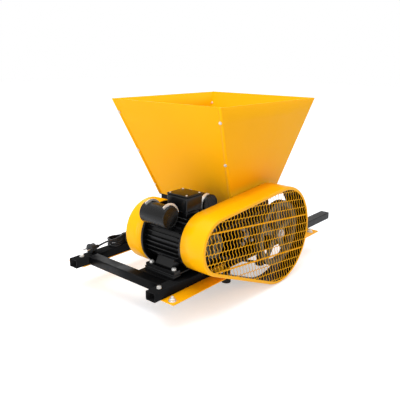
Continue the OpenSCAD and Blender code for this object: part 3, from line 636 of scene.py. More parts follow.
class CrusherSizes(bpy.types.PropertyGroup):
    tube_corner: length_setting("Tube corner", "Outer corner radius of the box tubes",
                                0.003, 0.001, 0.006)
    sheet_fold: length_setting("Sheet fold", "Outer radius of the folds along the hopper's seams",
                               0.0025, 0.001, 0.006)
    guard_crease: length_setting("Guard crease", "Radius between the guard's band and its front lip",
                                 0.005, 0.002, 0.009)
    mesh_pitch: length_setting("Mesh pitch", "Distance between neighbouring strands of the guard mesh",
                               0.017, 0.01, 0.03)
    mesh_row: length_setting("Mesh row", "Height of one row of openings in the guard mesh",
                             0.0322, 0.02, 0.06)
    mesh_strand: length_setting("Mesh strand", "Width of the strands of the guard mesh",
                                0.0026, 0.001, 0.006)
    lead: length_setting("Lead", "Length of the power lead from the gland to the plug", 1.96, 1.0, 3.0)


def sizes():
    return bpy.context.scene.crusher_sizes


# ---------------------------------------------------------------- stage

class CRUSHER_OT_stage(bpy.types.Operator):
    """Sets up the camera, the white floor, the soft lamps and the plain world"""
    bl_idname = "crusher.stage"
    bl_label = "Stage"

    def execute(self, context):
        self.camera(context)
        self.floor(context)
        self.lamps(context)
        self.world(context)
        context.scene.view_settings.view_transform = "Standard"
        return {"FINISHED"}

    @staticmethod
    def camera(context):
        """A camera a little above the hopper's rim, at the machine's motor corner."""
        azimuth, elevation, roll = -0.865576, 0.274328, 0.009692
        back = Vector((math.sin(azimuth) * math.cos(elevation),
                       -math.cos(azimuth) * math.cos(elevation), math.sin(elevation)))
        right = Vector((math.cos(azimuth), math.sin(azimuth), 0))
        up = back.cross(right)
        level = Matrix((right, up, back)).transposed()
        lens = bpy.data.cameras.new("camera")
        lens.lens = 45.38
        lens.sensor_width = 36.0
        lens.clip_start = 0.05
        lens.clip_end = 60.0
        view = bpy.data.objects.new("camera", lens)
        spot = Matrix.Translation((-1.4976, -1.1604, 0.7945))
        view.matrix_world = spot @ level.to_4x4() @ Matrix.Rotation(roll, 4, "Z")
        context.scene.collection.objects.link(view)
        context.scene.camera = view

    @staticmethod
    def floor(context):
        """A wide pale floor that keeps the soft shadow and meets the white background, lifted towards
        white by a painted glow.
        """
        bm = bmesh.new()
        half_width = 14.0
        bmesh.ops.create_grid(bm, x_segments=1, y_segments=1, size=half_width)
        bmesh.ops.translate(bm, vec=(0, 0, MODEL_BOX[0].z), verts=bm.verts)
        mesh = bpy.data.meshes.new("floor")
        bm.to_mesh(mesh)
        bm.free()
        made = bpy.data.objects.new("floor", mesh)
        context.scene.collection.objects.link(made)
        matt = Finish("pale_floor", 0.9, Specular_IOR_Level=0.0)
        speck = matt.noise(3.0, 2.0)
        # Faintly blue, to offset the warm light that the yellow sheet throws on the floor.
        matt.feed("Base Color", matt.mix(speck, (0.8, 0.83, 0.87, 1), (0.82, 0.85, 0.89, 1)))
        # Painted light: a glow that only the camera and reflections see lifts the floor towards white. It
        # is weakest in a ring round the machine, stronger under it and strongest far out.
        out = matt.node("ShaderNodeVectorMath", {"operation": "LENGTH"}, {0: matt.where()}, "Value")
        far = matt.ramp(out * 0.25, ((0.2, 0.44), (0.36, 0.22), (0.8, 0.62)))
        matt.feed("Emission Color", matt.mix(matt.seen(), (0, 0, 0, 1), far))
        matt.shader.inputs["Emission Strength"].default_value = 1.0
        made.data.materials.append(matt.material)

    @staticmethod
    def lamps(context):
        """Four soft boxes that face the machine: (name, place, size, power)."""
        centre = (MODEL_BOX[0] + MODEL_BOX[1]) / 2
        boxes = (("key_box", (-3.1, -0.3, 0.9), 1.8, 33.0),
                 ("top_box", (-0.5, 0.0, 3.0), 2.4, 62.0),
                 ("front_box", (0.6, -3.0, 0.9), 1.8, 6.0),
                 ("back_box", (1.6, 2.6, 1.9), 2.2, 26.0))
        for name, spot, size, power in boxes:
            lamp = bpy.data.lights.new(name, "AREA")
            lamp.shape = "SQUARE"
            lamp.size = size
            lamp.energy = power
            made = bpy.data.objects.new(name, lamp)
            made.location = spot
            made.rotation_mode = "QUATERNION"
            made.rotation_quaternion = (centre - Vector(spot)).to_track_quat("-Z", "Y")
            context.scene.collection.objects.link(made)

    @staticmethod
    def world(context):
        """A white room to the camera and in reflections, and a gentler light on the surfaces."""
        world = bpy.data.worlds.new("room")
        context.scene.world = world
        room = Nodes(world, "Background")
        room.feed("Color", room.mix(room.seen(), (0.62, 0.62, 0.63, 1), (1, 1, 1, 1)))


class CRUSHER_OT_finishes(bpy.types.Operator):
    """Makes every finish and gives each node of the frame its own"""
    bl_idname = "crusher.finishes"
    bl_label = "Finishes"

    def execute(self, context):
        FINISHES.update(make_finishes(context.scene.crusher_colours))
        for node, slot in SLOTS.items():
            made = frame["nodes"][node]
            made.data.materials.clear()
            made.data.materials.append(FINISHES[slot])
        return {"FINISHED"}


# ---------------------------------------------------------------- power lead

CORD_R = 3.5
# Half the distance between the hank's two sides where the strap pinches them.
PINCH = 4.6
CORD_OUT = (
    (221, 134, 252), (223, 146, 252), (228, 157, 251), (237, 168, 248), (249, 177, 242),
    (263, 185, 231), (276, 191, 220), (288, 197, 207), (298, 203, 191), (305, 210, 173), (310, 217, 153),
    (312, 225, 133), (313, 234, 112), (314, 246, 91), (316, 261, 72), (318, 278, 56), (320, 296, 44),
    (322, 314, 37), (323, 332, 34), (322, 349, 34), (320, 360, 34), (314, 370, 34), (304, 377, 34),
    (293, 379, 34))
CORD_TAIL = (
    (172, 379, 61), (160, 379, 62), (150, 381, 62), (140, 386, 60), (130, 392, 56), (121, 398, 51),
    (112, 400, 48))


def hank_route():
    """Centre of the folded cord: runs pinched by a strap, joined by folds six diameters wide."""
    low, high = span("cord_hank")
    fold = (high.y - low.y) / 2 - CORD_R
    middle = (high.y + low.y) / 2
    ends = (low.x + CORD_R + fold, high.x - CORD_R - fold)
    turns, stagger = 4, 2.5
    run_steps, fold_steps = 14, 8
    # A turn is two runs and two folds and climbs by a cord's width, shared out between them.
    rise = CORD_R * 2
    run_share, fold_share = 0.36, 0.14
    base = low.z + CORD_R + 0.1
    points = []
    for turn in range(turns + 1):
        left = ends[0] + (0 if turn == turns else stagger * (turn % 3))
        right = ends[1] - (0 if turn == 0 else stagger * ((turn + 1) % 3))
        next_right = ends[1] - stagger * ((turn + 2) % 3)
        start = base + turn * rise
        for side, start_x, end_x, share in ((-1, right, left, 0.0), (1, left, next_right, 0.5)):
            for i in range(run_steps + 1):
                along = i / run_steps
                inward = (1 - math.cos(math.tau * along)) / 2
                wide = fold - (fold - PINCH) * inward
                z = start + rise * (share + run_share * along)
                points.append((start_x + (end_x - start_x) * along, middle + side * wide, z))
            if turn == turns:
                return points
            for i in range(1, fold_steps):
                angle = math.pi * i / fold_steps
                x = end_x + side * fold * math.sin(angle)
                y = middle + side * fold * math.cos(angle)
                climbed = share + run_share + fold_share * i / fold_steps
                points.append((x, y, start + rise * climbed))
    return points


class CRUSHER_OT_lead(bpy.types.Operator):
    """Lays the power lead from its gland to its plug, with the spare length tied in a hank"""
    bl_idname = "crusher.lead"
    bl_label = "Power lead"

    def execute(self, context):
        plug = self.plug()
        strap = self.strap()
        points = [CORNER + Vector(point) * MM for point in (*CORD_OUT, *hank_route(), *CORD_TAIL)]
        curve = bpy.data.curves.new("power_lead", "CURVE")
        curve.dimensions = "3D"
        curve.bevel_depth = CORD_R * MM
        curve.bevel_resolution = 3
        curve.resolution_u = 4
        curve.use_fill_caps = True
        line = curve.splines.new("BEZIER")
        line.bezier_points.add(len(points) - 1)
        for knot, point in zip(line.bezier_points, points):
            knot.co = point
            knot.handle_left_type = knot.handle_right_type = "AUTO"
        lead = bpy.data.objects.new("power_lead", curve)
        context.scene.collection.objects.link(lead)
        curve.materials.append(FINISHES["cord"])
        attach(lead, body_of("power_cord"))
        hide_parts("power_cord", "cord_hank")
        self.gland()
        return {"FINISHED"}

    @staticmethod
    def plug():
        """A moulded two-pin plug: ribbed relief, waisted grip, wide front and round pins."""
        low, high = span("power_plug")
        centre = middle("power_plug")
        radius = (high.z - low.z) / 2
        at = (high.x, centre.y, centre.z)
        bm = bmesh.new()
        collar = 18
        body = 24
        profile = [(0, 0), (0, CORD_R + 1)]
        for i in range(4):
            start = 1 + i * 4
            widen = i * 1.1
            profile += [(start, 5.2 + widen), (start + 2.4, 5.6 + widen), (start + 2.6, 4.6 + widen),
                        (start + 3.8, 4.8 + widen)]
        profile += [(collar, 13), (collar + 3, 16.5), (collar + 9, 15.2), (collar + 15, 17.2)]
        profile += arc((collar + 18, radius - 1.5), 1.5, -90, 0, 3)
        profile += arc((collar + body - 1.5, radius - 1.5), 1.5, 0, 90, 3)
        profile += [(collar + body, 0)]
        turned(bm, profile, at, -X_AXIS, 36)
        for i in range(6):
            rib = high.x - collar - 5 - i * 1.8
            block(bm, (rib - 0.5, centre.y - 7, centre.z + 12.2),
                  (rib + 0.5, centre.y + 7, centre.z + 14.6), 0.4, 1)
        made = piece("power_plug_body", bm, "power_plug")
        bm = bmesh.new()
        for side in (-1, 1):
            start = (high.x - collar - body, centre.y + side * 9.5, centre.z)
            rod(bm, start, 2.4, 19, -X_AXIS, 20, 0.7)
        piece("power_plug_pins", bm, "power_plug", slot="shaft_steel")
        return made

    @staticmethod
    def strap():
        """The strap that pinches the hank in its middle."""
        low, high = span("cord_hank")
        x, y, _ = middle("cord_hank")
        half = PINCH + CORD_R + 0.4
        bm = bmesh.new()
        sleeve(bm, (x - 5, y - half, low.z), (x + 5, y + half, high.z + 0.6), 0, 6, 5)
        return piece("hank_strap", bm, "cord_hank", shell=-1.2, slot="rubber")

    @staticmethod
    def gland():
        """The cable gland: hexagon nut, ribbed dome and a tapered relief round the lead."""
        low, high = span("cable_gland")
        x, _, z = middle("cable_gland")
        wall = span("terminal_box")[1].y
        bm = bmesh.new()
        rod(bm, (x, low.y, z), 6.8, wall - low.y, Y_AXIS, 24, 0.4)
        hex_head(bm, (x, wall, z), 15.5, 5.0, Y_AXIS)
        profile = [(5, 0), (5, 8.2), (8, 8.2), (9, 7.6)]
        for i in range(5):
            start = 9.5 + i * 4.2
            radius = 7.4 - i * 0.52
            profile += [(start, radius), (start + 2.6, radius - 0.3), (start + 3.0, radius - 1.1),
                        (start + 3.9, radius - 1.15)]
        length = high.y - wall
        profile += [(length - 0.4, CORD_R + 0.9), (length, CORD_R + 0.2), (length, 0)]
        turned(bm, profile, (x, wall, z), Y_AXIS, 32)
        piece("lead_gland", bm, "cable_gland")


# ---------------------------------------------------------------- frame

class CRUSHER_OT_frame(bpy.types.Operator):
    """Models the box tubes with rounded corners and open ends, and the plate under the motor"""
    bl_idname = "crusher.frame"
    bl_label = "Frame tubes"

    def execute(self, context):
        corner = sizes().tube_corner / MM
        for node, axis in (("frame_tube_near", 0), ("frame_tube_far", 0), ("frame_cross_tube", 1)):
            low, high = span(node)
            bm = bmesh.new()
            sleeve(bm, low, high, axis, corner, 4)
            piece(node.replace("frame_", ""), bm, node, shell=SHEET)
        slab("plate_under_motor", "motor_plate", *span("motor_plate"), 0.8)
        self.welds()
        return {"FINISHED"}

    @staticmethod
    def welds():
        """Weld beads where the cross tube meets the long tubes."""
        low, high = span("frame_cross_tube")
        bm = bmesh.new()
        count, bead_r = 12, 1.9
        for y in (low.y, high.y):
            for x in (low.x, high.x):
                for i in range(count):
                    z = low.z + (high.z - low.z) * (i + 0.5) / count
                    verts = bmesh.ops.create_icosphere(bm, subdivisions=1, radius=bead_r)["verts"]
                    bmesh.ops.scale(bm, vec=(1, 1, 1.3), verts=verts)
                    bmesh.ops.translate(bm, vec=(x, y, z), verts=verts)
        piece("frame_welds", bm, "frame_cross_tube", sharp=180)


class CRUSHER_OT_frame_fasteners(bpy.types.Operator):
    """Models the bolts that hold the tubes and stand on the base strips"""
    bl_idname = "crusher.frame_fasteners"
    bl_label = "Frame fasteners"

    def execute(self, context):
        tube_top = span("frame_tube_near")[1].z
        strip_low, strip_high = span("base_strip_near")
        for node, top, under in (("strip_bolts", strip_high.z, strip_low.z),
                                 ("frame_bolts", tube_top, strip_low.z)):
            bm = bmesh.new()
            for turn, (low, high) in enumerate(solids(node)):
                size = (high.x - low.x) / 2
                if high.z - low.z > size * 1.2:
                    x, y, _ = (low + high) / 2
                    self.bolt(bm, (x, y), size, low.z, top, under, 17.0 * turn)
                    if node == "strip_bolts":
                        thread(bm, (x, y, top + size * 0.7), size * 0.48, size * 0.75, 1.4)
                        washer(bm, (x, y, top), size * 0.6, size * 1.25, size * 0.12)
            piece(node.replace("_bolts", "_fasteners"), bm, node)
        return {"FINISHED"}

    @staticmethod
    def bolt(bm, spot, size, foot, top, under, turn):
        """One bolt with its washers, head above and nut below."""
        hole, thick = size * 0.52, size * 0.16
        headed(bm, (*spot, top), hole, size, thick, size * 1.62, size * 0.6, turn=turn)
        rod(bm, (*spot, foot + size * 0.5), size * 0.48, top - foot - size * 0.4, sides=20)
        thread(bm, (*spot, under), size * 0.5, under - foot - size * 0.1, 1.4, -Z_AXIS)
        headed(bm, (*spot, under), hole, size, thick, size * 1.62, size * 0.62, -Z_AXIS, turn + 11)


# ---------------------------------------------------------------- hopper

def outer_corners(node, side):
    """The four outer corners of a long hopper panel: low -X, low +X, high +X, high -X."""
    bm = merged_copy(node)
    bottom = min(vert.co.z for vert in bm.verts)
    top = max(vert.co.z for vert in bm.verts)
    found = []
    for level, along in ((bottom, -1), (bottom, 1), (top, 1), (top, -1)):
        row = [vert.co for vert in bm.verts if abs(vert.co.z - level) < 0.5]
        found.append(max(row, key=lambda co: along * co.x + side * co.y * 3).copy())
    bm.free()
    return found


class CRUSHER_OT_hopper(bpy.types.Operator):
    """Models the long hopper panels as one sheet each, with folded seams and a foot"""
    bl_idname = "crusher.hopper"
    bl_label = "Hopper"

    # The width of the folded seam, how far its lower end stands off the end panel, the drop that
    # keeps the leaning wall's inner edge level with the rim, and the depth of the folded foot.
    seam = 13.0
    stand_off = 2.0
    rim_drop = 1.0
    foot_depth = 15.0

    def execute(self, context):
        for node, side in (("hopper_panel_near", -1), ("hopper_panel_far", 1)):
            self.long_panel(node, side)
        return {"FINISHED"}

    def long_panel(self, node, side):
        corners = outer_corners(node, side)
        for corner in corners[2:]:
            corner.z -= self.rim_drop
        bm = bmesh.new()
        main = [bm.verts.new(co) for co in corners]
        inward = Vector((0, -side * self.seam, 0))
        slack = Vector((self.stand_off, 0, 0))
        far = [bm.verts.new(co + inward) for co in corners]
        for i, bend in ((0, -slack), (1, slack)):
            far[i].co += bend
        for outline in (main, (far[0], main[0], main[3], far[3]), (main[1], far[1], far[2], main[2])):
            bm.faces.new(outline)
        uprights = [edge for edge in bm.edges if abs((edge.verts[0].co - edge.verts[1].co).z) > 50]
        bmesh.ops.subdivide_edges(bm, edges=uprights, cuts=6, use_grid_fill=True)
        bmesh.ops.recalc_face_normals(bm, faces=bm.faces)
        outward = sum((face.normal.y * side for face in bm.faces if abs(face.normal.y) > 0.6))
        if outward < 0:
            bmesh.ops.reverse_faces(bm, faces=bm.faces)
        folds = [edge for edge in bm.edges if len(edge.link_faces) == 2
                 and edge.calc_face_angle() > 1.0]
        rounded(bm, folds, sizes().sheet_fold / MM, 4)
        piece(node.replace("hopper_", "folded_"), bm, node, shell=SHEET, sharp=60)
        low, high = span("roller_plate_far")
        edge_y = corners[0].y - side * 1.0
        front, back = sorted((edge_y, edge_y - side * self.foot_depth))
        slab(node.replace("hopper_panel", "hopper_foot"), node,
             (low.x + 3, front, high.z), (high.x - 3, back, high.z + SHEET), 0.6)


class CRUSHER_OT_hopper_fasteners(bpy.types.Operator):
    """Models the seam bolts with their inner nuts, and the bolts through the hopper's foot"""
    bl_idname = "crusher.hopper_fasteners"
    bl_label = "Hopper fasteners"

    def execute(self, context):
        centre_x = (span("hopper_panel_motor_side")[0].x + span("hopper_panel_outer")[1].x) / 2
        slope = self.slope()
        bm = bmesh.new()
        for turn, (low, high) in enumerate(solids("hopper_seam_bolts")):
            centre = (low + high) / 2
            side = -1 if centre.x < centre_x else 1
            out = Vector((side * math.cos(slope), 0, -math.sin(slope)))
            at = centre - out * 1.8
            headed(bm, at, 3.1, 5.6, 0.8, 8.0, 3.0, out, 13.0 * turn)
            hex_head(bm, at - out * 4.1, 8.6, 3.6, -out, 29.0 * turn)
            rod(bm, at - out * 9.0, 2.4, 10.0, out, 16, 0.5)
        piece("seam_fasteners", bm, "hopper_seam_bolts")
        bm = bmesh.new()
        foot_top = span("roller_plate_near")[1].z + SHEET
        for turn, (low, high) in enumerate(solids("hopper_foot_bolts")):
            if high.z < foot_top:
                continue
            at = Vector(((low.x + high.x) / 2, (low.y + high.y) / 2, foot_top))
            headed(bm, at, 2.6, 5.6, 0.9, 7.6, 2.9, turn=19.0 * turn)
            hex_head(bm, at - Z_AXIS * 5.0, 7.6, 3.6, -Z_AXIS, 7.0 * turn)
            rod(bm, at - Z_AXIS * 12.0, 2.3, 12.0, Z_AXIS, 16, 0.4)
        piece("foot_fasteners", bm, "hopper_foot_bolts")
        return {"FINISHED"}

    @staticmethod
    def slope():
        """Lean of the end panels from upright, in radians."""
        low, high = span("hopper_panel_motor_side")
        return math.atan2(high.x - low.x - SHEET, high.z - low.z)


# ---------------------------------------------------------------- belt guard

class CRUSHER_OT_guard(bpy.types.Operator):
    """Models the guard's band and lip as one pressed shell with a rounded front crease"""
    bl_idname = "crusher.guard"
    bl_label = "Belt guard"

    def execute(self, context):
        crease = sizes().guard_crease / MM
        lip, hem = 11.0, 0.8
        front = LIP_LOW.y
        bm = bmesh.new()
        section = [(0, BAND_HIGH.y), (0, (BAND_HIGH.y + front) / 2)]
        steps = 6
        for i in range(steps + 1):
            angle = math.pi / 2 * i / steps
            section.append((crease * (1 - math.cos(angle)), front + crease * (1 - math.sin(angle))))
        section += [(lip, front), (lip + hem, front + hem)]
        bridged(bm, [pear_loop(bm, guard_arcs(inset), y) for inset, y in section])
        outward = [face for face in bm.faces if face.calc_center_median().z > BAND_HIGH.z - 1]
        if outward and outward[0].normal.z < 0:
            bmesh.ops.reverse_faces(bm, faces=bm.faces)
        # The shell's inside takes the black tube paint: painted shade, so that the guard looks dark
        # inside through its mesh.
        piece("guard_shell", bm, "guard_band", "guard_lip", shell=SHEET, sharp=50, rim="tube_paint")
        return {"FINISHED"}


class CRUSHER_OT_guard_mesh(bpy.types.Operator):
    """Models the guard's expanded mesh: rows of slanted diamonds joined by bent strands"""
    bl_idname = "crusher.guard_mesh"
    bl_label = "Guard mesh"

    # Slope of the rows in degrees, height of a row's zigzag, lift of a twisted strand, gap to the
    # guard's outline, rows as counted from the first opening, columns on the -X side of that one,
    # and how a strand shifts on its way up: (share of its height, share of its shift).
    slope = 7.0
    zigzag = 5.0
    twist = 1.1
    edge_gap = 5.0
    rows = range(-6, 9)
    columns_before = 16
    bend = ((0.3, 0.05), (0.42, 0.3), (0.58, 0.7), (0.7, 0.95))

    def execute(self, context):
        pitch, row = sizes().mesh_pitch / MM, sizes().mesh_row / MM
        bm = bmesh.new()
        self.cells(bm, pitch, row)
        inner = list(bm.faces)
        bmesh.ops.inset_individual(bm, faces=inner, thickness=sizes().mesh_strand / MM / 2, depth=0,
                                   use_even_offset=True)
        self.twist_strands(inner, pitch, row)
        bmesh.ops.delete(bm, geom=inner, context="FACES")
        origin = Vector((span("roller_plate_near")[0].x, LIP_HIGH.y + 0.4, ROLLER_Z - 44.5))
        turn = Matrix.Translation(origin) @ Matrix.Rotation(math.radians(self.slope), 4, "Y")
        bmesh.ops.transform(bm, matrix=turn, verts=bm.verts)
        self.trim(bm, self.edge_gap)
        if sum(face.normal.y for face in bm.faces) > 0:
            bmesh.ops.reverse_faces(bm, faces=bm.faces)
        piece("guard_mesh_net", bm, "guard_mesh", shell=1.5, sharp=40)
        return {"FINISHED"}

    def cells(self, bm, pitch, row):
        """Fills the plan with openings: columns along X, rows along Z, from one drawn opening."""
        half = self.zigzag / 2
        rising = [(pitch / 2 * (1 - shift), half + (row - self.zigzag) * t) for t, shift in self.bend]
        left = [(0, row - half), *reversed(rising), (pitch / 2, half)]
        right = [(pitch * 1.5, half), *((x + pitch, z) for x, z in rising), (pitch, row - half)]
        outline = [(pitch, -half), *right, (pitch / 2, row + half), *left]
        first = bm.faces.new([bm.verts.new((x, 0, z)) for x, z in outline])
        first_column = int((BAND_LOW.x - ROLLER_X) / pitch)
        past_last = int((BAND_HIGH.x - BAND_LOW.x) / pitch) - self.columns_before
        for i in range(first_column, past_last):
            for j in self.rows:
                if (i, j) == (0, 0):
                    continue
                made = bmesh.ops.duplicate(bm, geom=[first])["geom"]
                verts = [item for item in made if isinstance(item, bmesh.types.BMVert)]
                bmesh.ops.translate(bm, vec=(i * pitch, 0, j * row), verts=verts)
        bmesh.ops.remove_doubles(bm, verts=bm.verts, dist=0.01)

    def twist_strands(self, openings, pitch, row):
        """Tips each strand about its own length, as the press leaves it."""
        for face in openings:
            centre = face.calc_center_bounds()
            for vert in face.verts:
                up = (vert.co.z - centre.z) / (row / 2)
                across = (vert.co.x - centre.x + up * pitch * 0.25) / (pitch * 0.4)
                lift = max(-1, min(1, across)) + (up if abs(up) > 0.85 else 0)
                vert.co.y -= self.twist * max(-1, min(1, lift))

    @staticmethod
    def trim(bm, inset):
        """Cuts the mesh along the lines that touch the guard's outline a little inside it."""
        for (centre, radius, start, sweep), steps in zip(guard_arcs(inset), (16, 26)):
            for i in range(steps + 1):
                angle = start + sweep * i / steps
                out = Vector((math.cos(angle), 0, math.sin(angle)))
                edge = Vector((centre[0], 0, centre[1])) + out * radius
                bmesh.ops.bisect_plane(bm, geom=bm.verts[:] + bm.edges[:] + bm.faces[:], dist=0.01,
                                       plane_co=edge, plane_no=out, clear_outer=True)


# ---------------------------------------------------------------- belt drive

class CRUSHER_OT_belt_drive(bpy.types.Operator):
    """Models the two pulleys, the belt, and the nut on the roller shaft"""
    bl_idname = "crusher.belt_drive"
    bl_label = "Belt drive"

    spokes = 5
    hub_r = 30
    rim_depth = 17

    def execute(self, context):
        self.roller_pulley()
        self.motor_pulley()
        self.belt()
        self.nut()
        return {"FINISHED"}

    @staticmethod
    def groove(pitch_r, half):
        """Rim profile across one V groove, from -half to half."""
        top = pitch_r + RIM_OVER_PITCH
        return [(-half, top - 1), (-half + 1, top), (-7.2, top), (-5.4, pitch_r - 6), (5.4, pitch_r - 6),
                (7.2, top), (half - 1, top), (half, top - 1)]

    def roller_pulley(self):
        centre = (ROLLER_X, BELT_Y, ROLLER_Z)
        half = PULLEY_HALF
        inner = WHEEL_R - self.rim_depth
        bm = bmesh.new()
        rim = [(-half, inner + 1), *self.groove(WHEEL_R, half), (half, inner + 1), (half - 1, inner),
               (-half + 1, inner), (-half, inner + 1)]
        turned(bm, rim, centre, Y_AXIS, 96)
        reach = (BIG_HIGH.y - BIG_LOW.y) / 2
        soft = 1.5
        hub = [(-reach, SHAFT_BORE_R), (-reach, self.hub_r - soft), (-reach + soft, self.hub_r),
               (reach - soft, self.hub_r), (reach, self.hub_r - soft), (reach, SHAFT_BORE_R),
               (-reach, SHAFT_BORE_R)]
        turned(bm, hub, centre, Y_AXIS, 64)
        for i in range(self.spokes):
            self.spoke(bm, centre, 18 + 360 * i / self.spokes, self.hub_r - 3, inner + 2)
        piece("drive_wheel", bm, "roller_pulley")

    @staticmethod
    def spoke(bm, centre, degrees, start, end):
        """One arm that narrows from the hub to the rim."""
        narrower, thinner = 0.78, 0.9
        before = set(bm.verts)
        block(bm, (start, -5, -13), (end, 5, 13), 3.0, 3)
        for vert in drawn_since(bm, before):
            if vert.co.x > (start + end) / 2:
                vert.co.z *= narrower
                vert.co.y *= thinner
        swung(bm, before, -degrees, centre)

    def motor_pulley(self):
        centre = (MOTOR_X, BELT_Y, MOTOR_Z)
        half = PULLEY_HALF
        bm = bmesh.new()
        profile = [(-half, SHAFT_BORE_R), *self.groove(PULLEY_R, half), (half, 24), (half + 13, 24),
                   (half + 14, 23), (half + 14, SHAFT_BORE_R), (-half, SHAFT_BORE_R)]
        turned(bm, [(-along, radius) for along, radius in reversed(profile)], centre, Y_AXIS, 64)
        rod(bm, (MOTOR_X, BELT_Y - half - 7, MOTOR_Z + 21), 3.4, 5.0, Z_AXIS, 18, 0.5)
        piece("motor_wheel", bm, "motor_pulley")

    @staticmethod
    def belt():
        bm = bmesh.new()
        low, high = span("v_belt")
        half = (high.y - low.y) / 2
        top, bottom = 3.0, -5.0
        section = ((top, -half), (top + 0.3, 0), (top, half), (bottom, half - 1.6), (bottom, 1.6 - half))
        loops = [pear_loop(bm, belt_arcs(grow), BELT_Y + y) for grow, y in section]
        bridged(bm, loops, closed=True)
        piece("drive_belt", bm, "v_belt")

    @staticmethod
    def nut():
        low, high = span("pulley_nut")
        bm = bmesh.new()
        at = (ROLLER_X, high.y, ROLLER_Z)
        headed(bm, at, 12.0, 17.0, 3.0, 20.0, high.y - low.y - 4, -Y_AXIS, 12)
        thread(bm, (ROLLER_X, high.y - 3, ROLLER_Z), 8.0, high.y - low.y - 4.4, 1.5, -Y_AXIS)
        piece("shaft_nut", bm, "pulley_nut")


# ---------------------------------------------------------------- motor

class CRUSHER_OT_motor_housing(bpy.types.Operator):
    """Models the motor's barrel with its tapered cooling fins, cradles and box seat"""
    bl_idname = "crusher.motor_housing"
    bl_label = "Motor housing"

    barrel_r = 85.0
    fin_r = 97.0
    bore_r = 76.0
    fins = 36
    # The arcs without fins, in degrees from +X: under the terminal box and over the feet.
    bare = ((68, 112), (205, 335))
    seat_from = 80
    seat_to = 100
    seat_half = 13

    def execute(self, context):
        low, high = span("motor_housing")
        length = high.y - low.y
        centre = Vector((MOTOR_X, low.y, MOTOR_Z))
        bm = bmesh.new()
        barrel = [(0, self.bore_r), (0, self.barrel_r), (length, self.barrel_r),
                  (length, self.bore_r), (0, self.bore_r)]
        turned(bm, barrel, centre, Y_AXIS, 96)
        for i in range(self.fins):
            angle = i * 360 / self.fins
            if not any(start < angle < end for start, end in self.bare):
                self.fin(bm, centre, angle, length)
        box_low, box_high = span("terminal_box")
        block(bm, (box_low.x + 8, box_low.y + 8, MOTOR_Z + self.barrel_r - 12),
              (box_high.x - 8, box_high.y - 8, box_low.z), 2.0, 2)
        self.cradles(bm)
        piece("finned_housing", bm, "motor_housing")
        return {"FINISHED"}

    def fin(self, bm, centre, degrees, length):
        """One cast fin, thinner at its tip and rounded at both ends."""
        before = set(bm.verts)
        block(bm, (self.barrel_r - 4, 0, -2.1), (self.fin_r, length, 2.1), 0)
        made = drawn_since(bm, before)
        for vert in made:
            if vert.co.x > self.barrel_r:
                vert.co.z *= 0.62
                vert.co.y = 3 if vert.co.y < length / 2 else length - 3
        tips = [edge for vert in made for edge in vert.link_edges
                if all(end.co.x > self.barrel_r for end in edge.verts)]
        rounded(bm, set(tips), 0.8, 2)
        swung(bm, before, -degrees, centre)

    def cradles(self, bm):
        """The seats that carry the two capacitor covers, under the plated saddles."""
        for low, high in solids("capacitor_saddles"):
            side = -1 if (low.x + high.x) / 2 < MOTOR_X else 1
            before = set(bm.verts)
            block(bm, (self.seat_from, low.y, -self.seat_half), (self.seat_to, high.y, self.seat_half),
                  1.2, 2)
            swung(bm, before, side * 45 - 90, (MOTOR_X, 0, MOTOR_Z))


class CRUSHER_OT_motor_ends(bpy.types.Operator):
    """Models the end shields with their ribs, and the fan cowl with the grille of its inlet"""
    bl_idname = "crusher.motor_ends"
    bl_label = "Motor ends"

    inlet_r = 80.0
    wall = 1.5

    def execute(self, context):
        self.shields()
        self.cowl()
        return {"FINISHED"}

    @staticmethod
    def shields():
        low, high = span("end_shields")
        barrel_low, barrel_high = span("motor_housing")
        bm = bmesh.new()
        rim, boss, bore, depth = 91, 40, 27, 24
        front = [(0, bore), (0, rim - 2), (2, rim), (12, rim), (14, rim - 3), (15, rim - 12),
                 (15, boss + 4), (17, boss + 1), (depth - 0.8, boss), (depth, boss - 1), (depth, bore),
                 (0, bore)]
        turned(bm, front, (MOTOR_X, barrel_low.y, MOTOR_Z), -Y_AXIS, 96)
        flange = (high.z - low.z) / 2
        rear = [(0, bore), (0, flange - 1), (1, flange), (7, flange), (8, flange - 1), (8, rim),
                (14, rim - 2), (14, boss + 1), (depth - 1, boss), (depth, boss - 1), (depth, bore),
                (0, bore)]
        turned(bm, rear, (MOTOR_X, barrel_high.y, MOTOR_Z), Y_AXIS, 96)
        for i in range(8):
            before = set(bm.verts)
            block(bm, (boss - 2, -17, -2), (rim - 8, -1, 2), 1.0, 2)
            swung(bm, before, 22.5 + 45 * i, (MOTOR_X, barrel_low.y - 1.5, MOTOR_Z))
        piece("end_shield_pair", bm, "end_shields")

    def cowl(self):
        """A drawn drum with a rounded back edge, and a grille of rings and bars over its inlet."""
        low, high = span("fan_cowl")
        radius = (high.z - low.z) / 2
        length = high.y - low.y
        soft = 9.0
        bm = bmesh.new()
        profile = [(0, radius), (length * 0.5, radius)]
        profile += arc((length - soft, radius - soft), soft, 0, 90, 6)
        profile += [(length, self.inlet_r)]
        turned(bm, profile, (MOTOR_X, low.y, MOTOR_Z), Y_AXIS, 96)
        bmesh.ops.recalc_face_normals(bm, faces=bm.faces)
        piece("cowl_drum", bm, "fan_cowl", shell=self.wall, sharp=50, rim="tube_paint")
        piece("cowl_grille", self.grille(high.y), "fan_cowl")

    def grille(self, back):
        """Rings held by bars that cross them from the hub to the drum."""
        wall = self.wall
        bm = bmesh.new()
        at = (MOTOR_X, back - wall, MOTOR_Z)
        half_ring, half_bar, hub_r = 1.5, 2.5, 24
        for ring in range(30, 71, 8):
            inner, outer = ring - half_ring, ring + half_ring
            turned(bm, [(0, inner), (0, outer), (wall, outer), (wall, inner), (0, inner)], at, Y_AXIS, 72)
        turned(bm, [(0, 0), (0, hub_r), (wall, hub_r), (wall, 0)], at, Y_AXIS, 48)
        for i in range(8):
            before = set(bm.verts)
            block(bm, (hub_r - 4, -wall, -half_bar), (self.inlet_r + 2, 0, half_bar))
            swung(bm, before, 45 * i, (MOTOR_X, back, MOTOR_Z))
        return bm


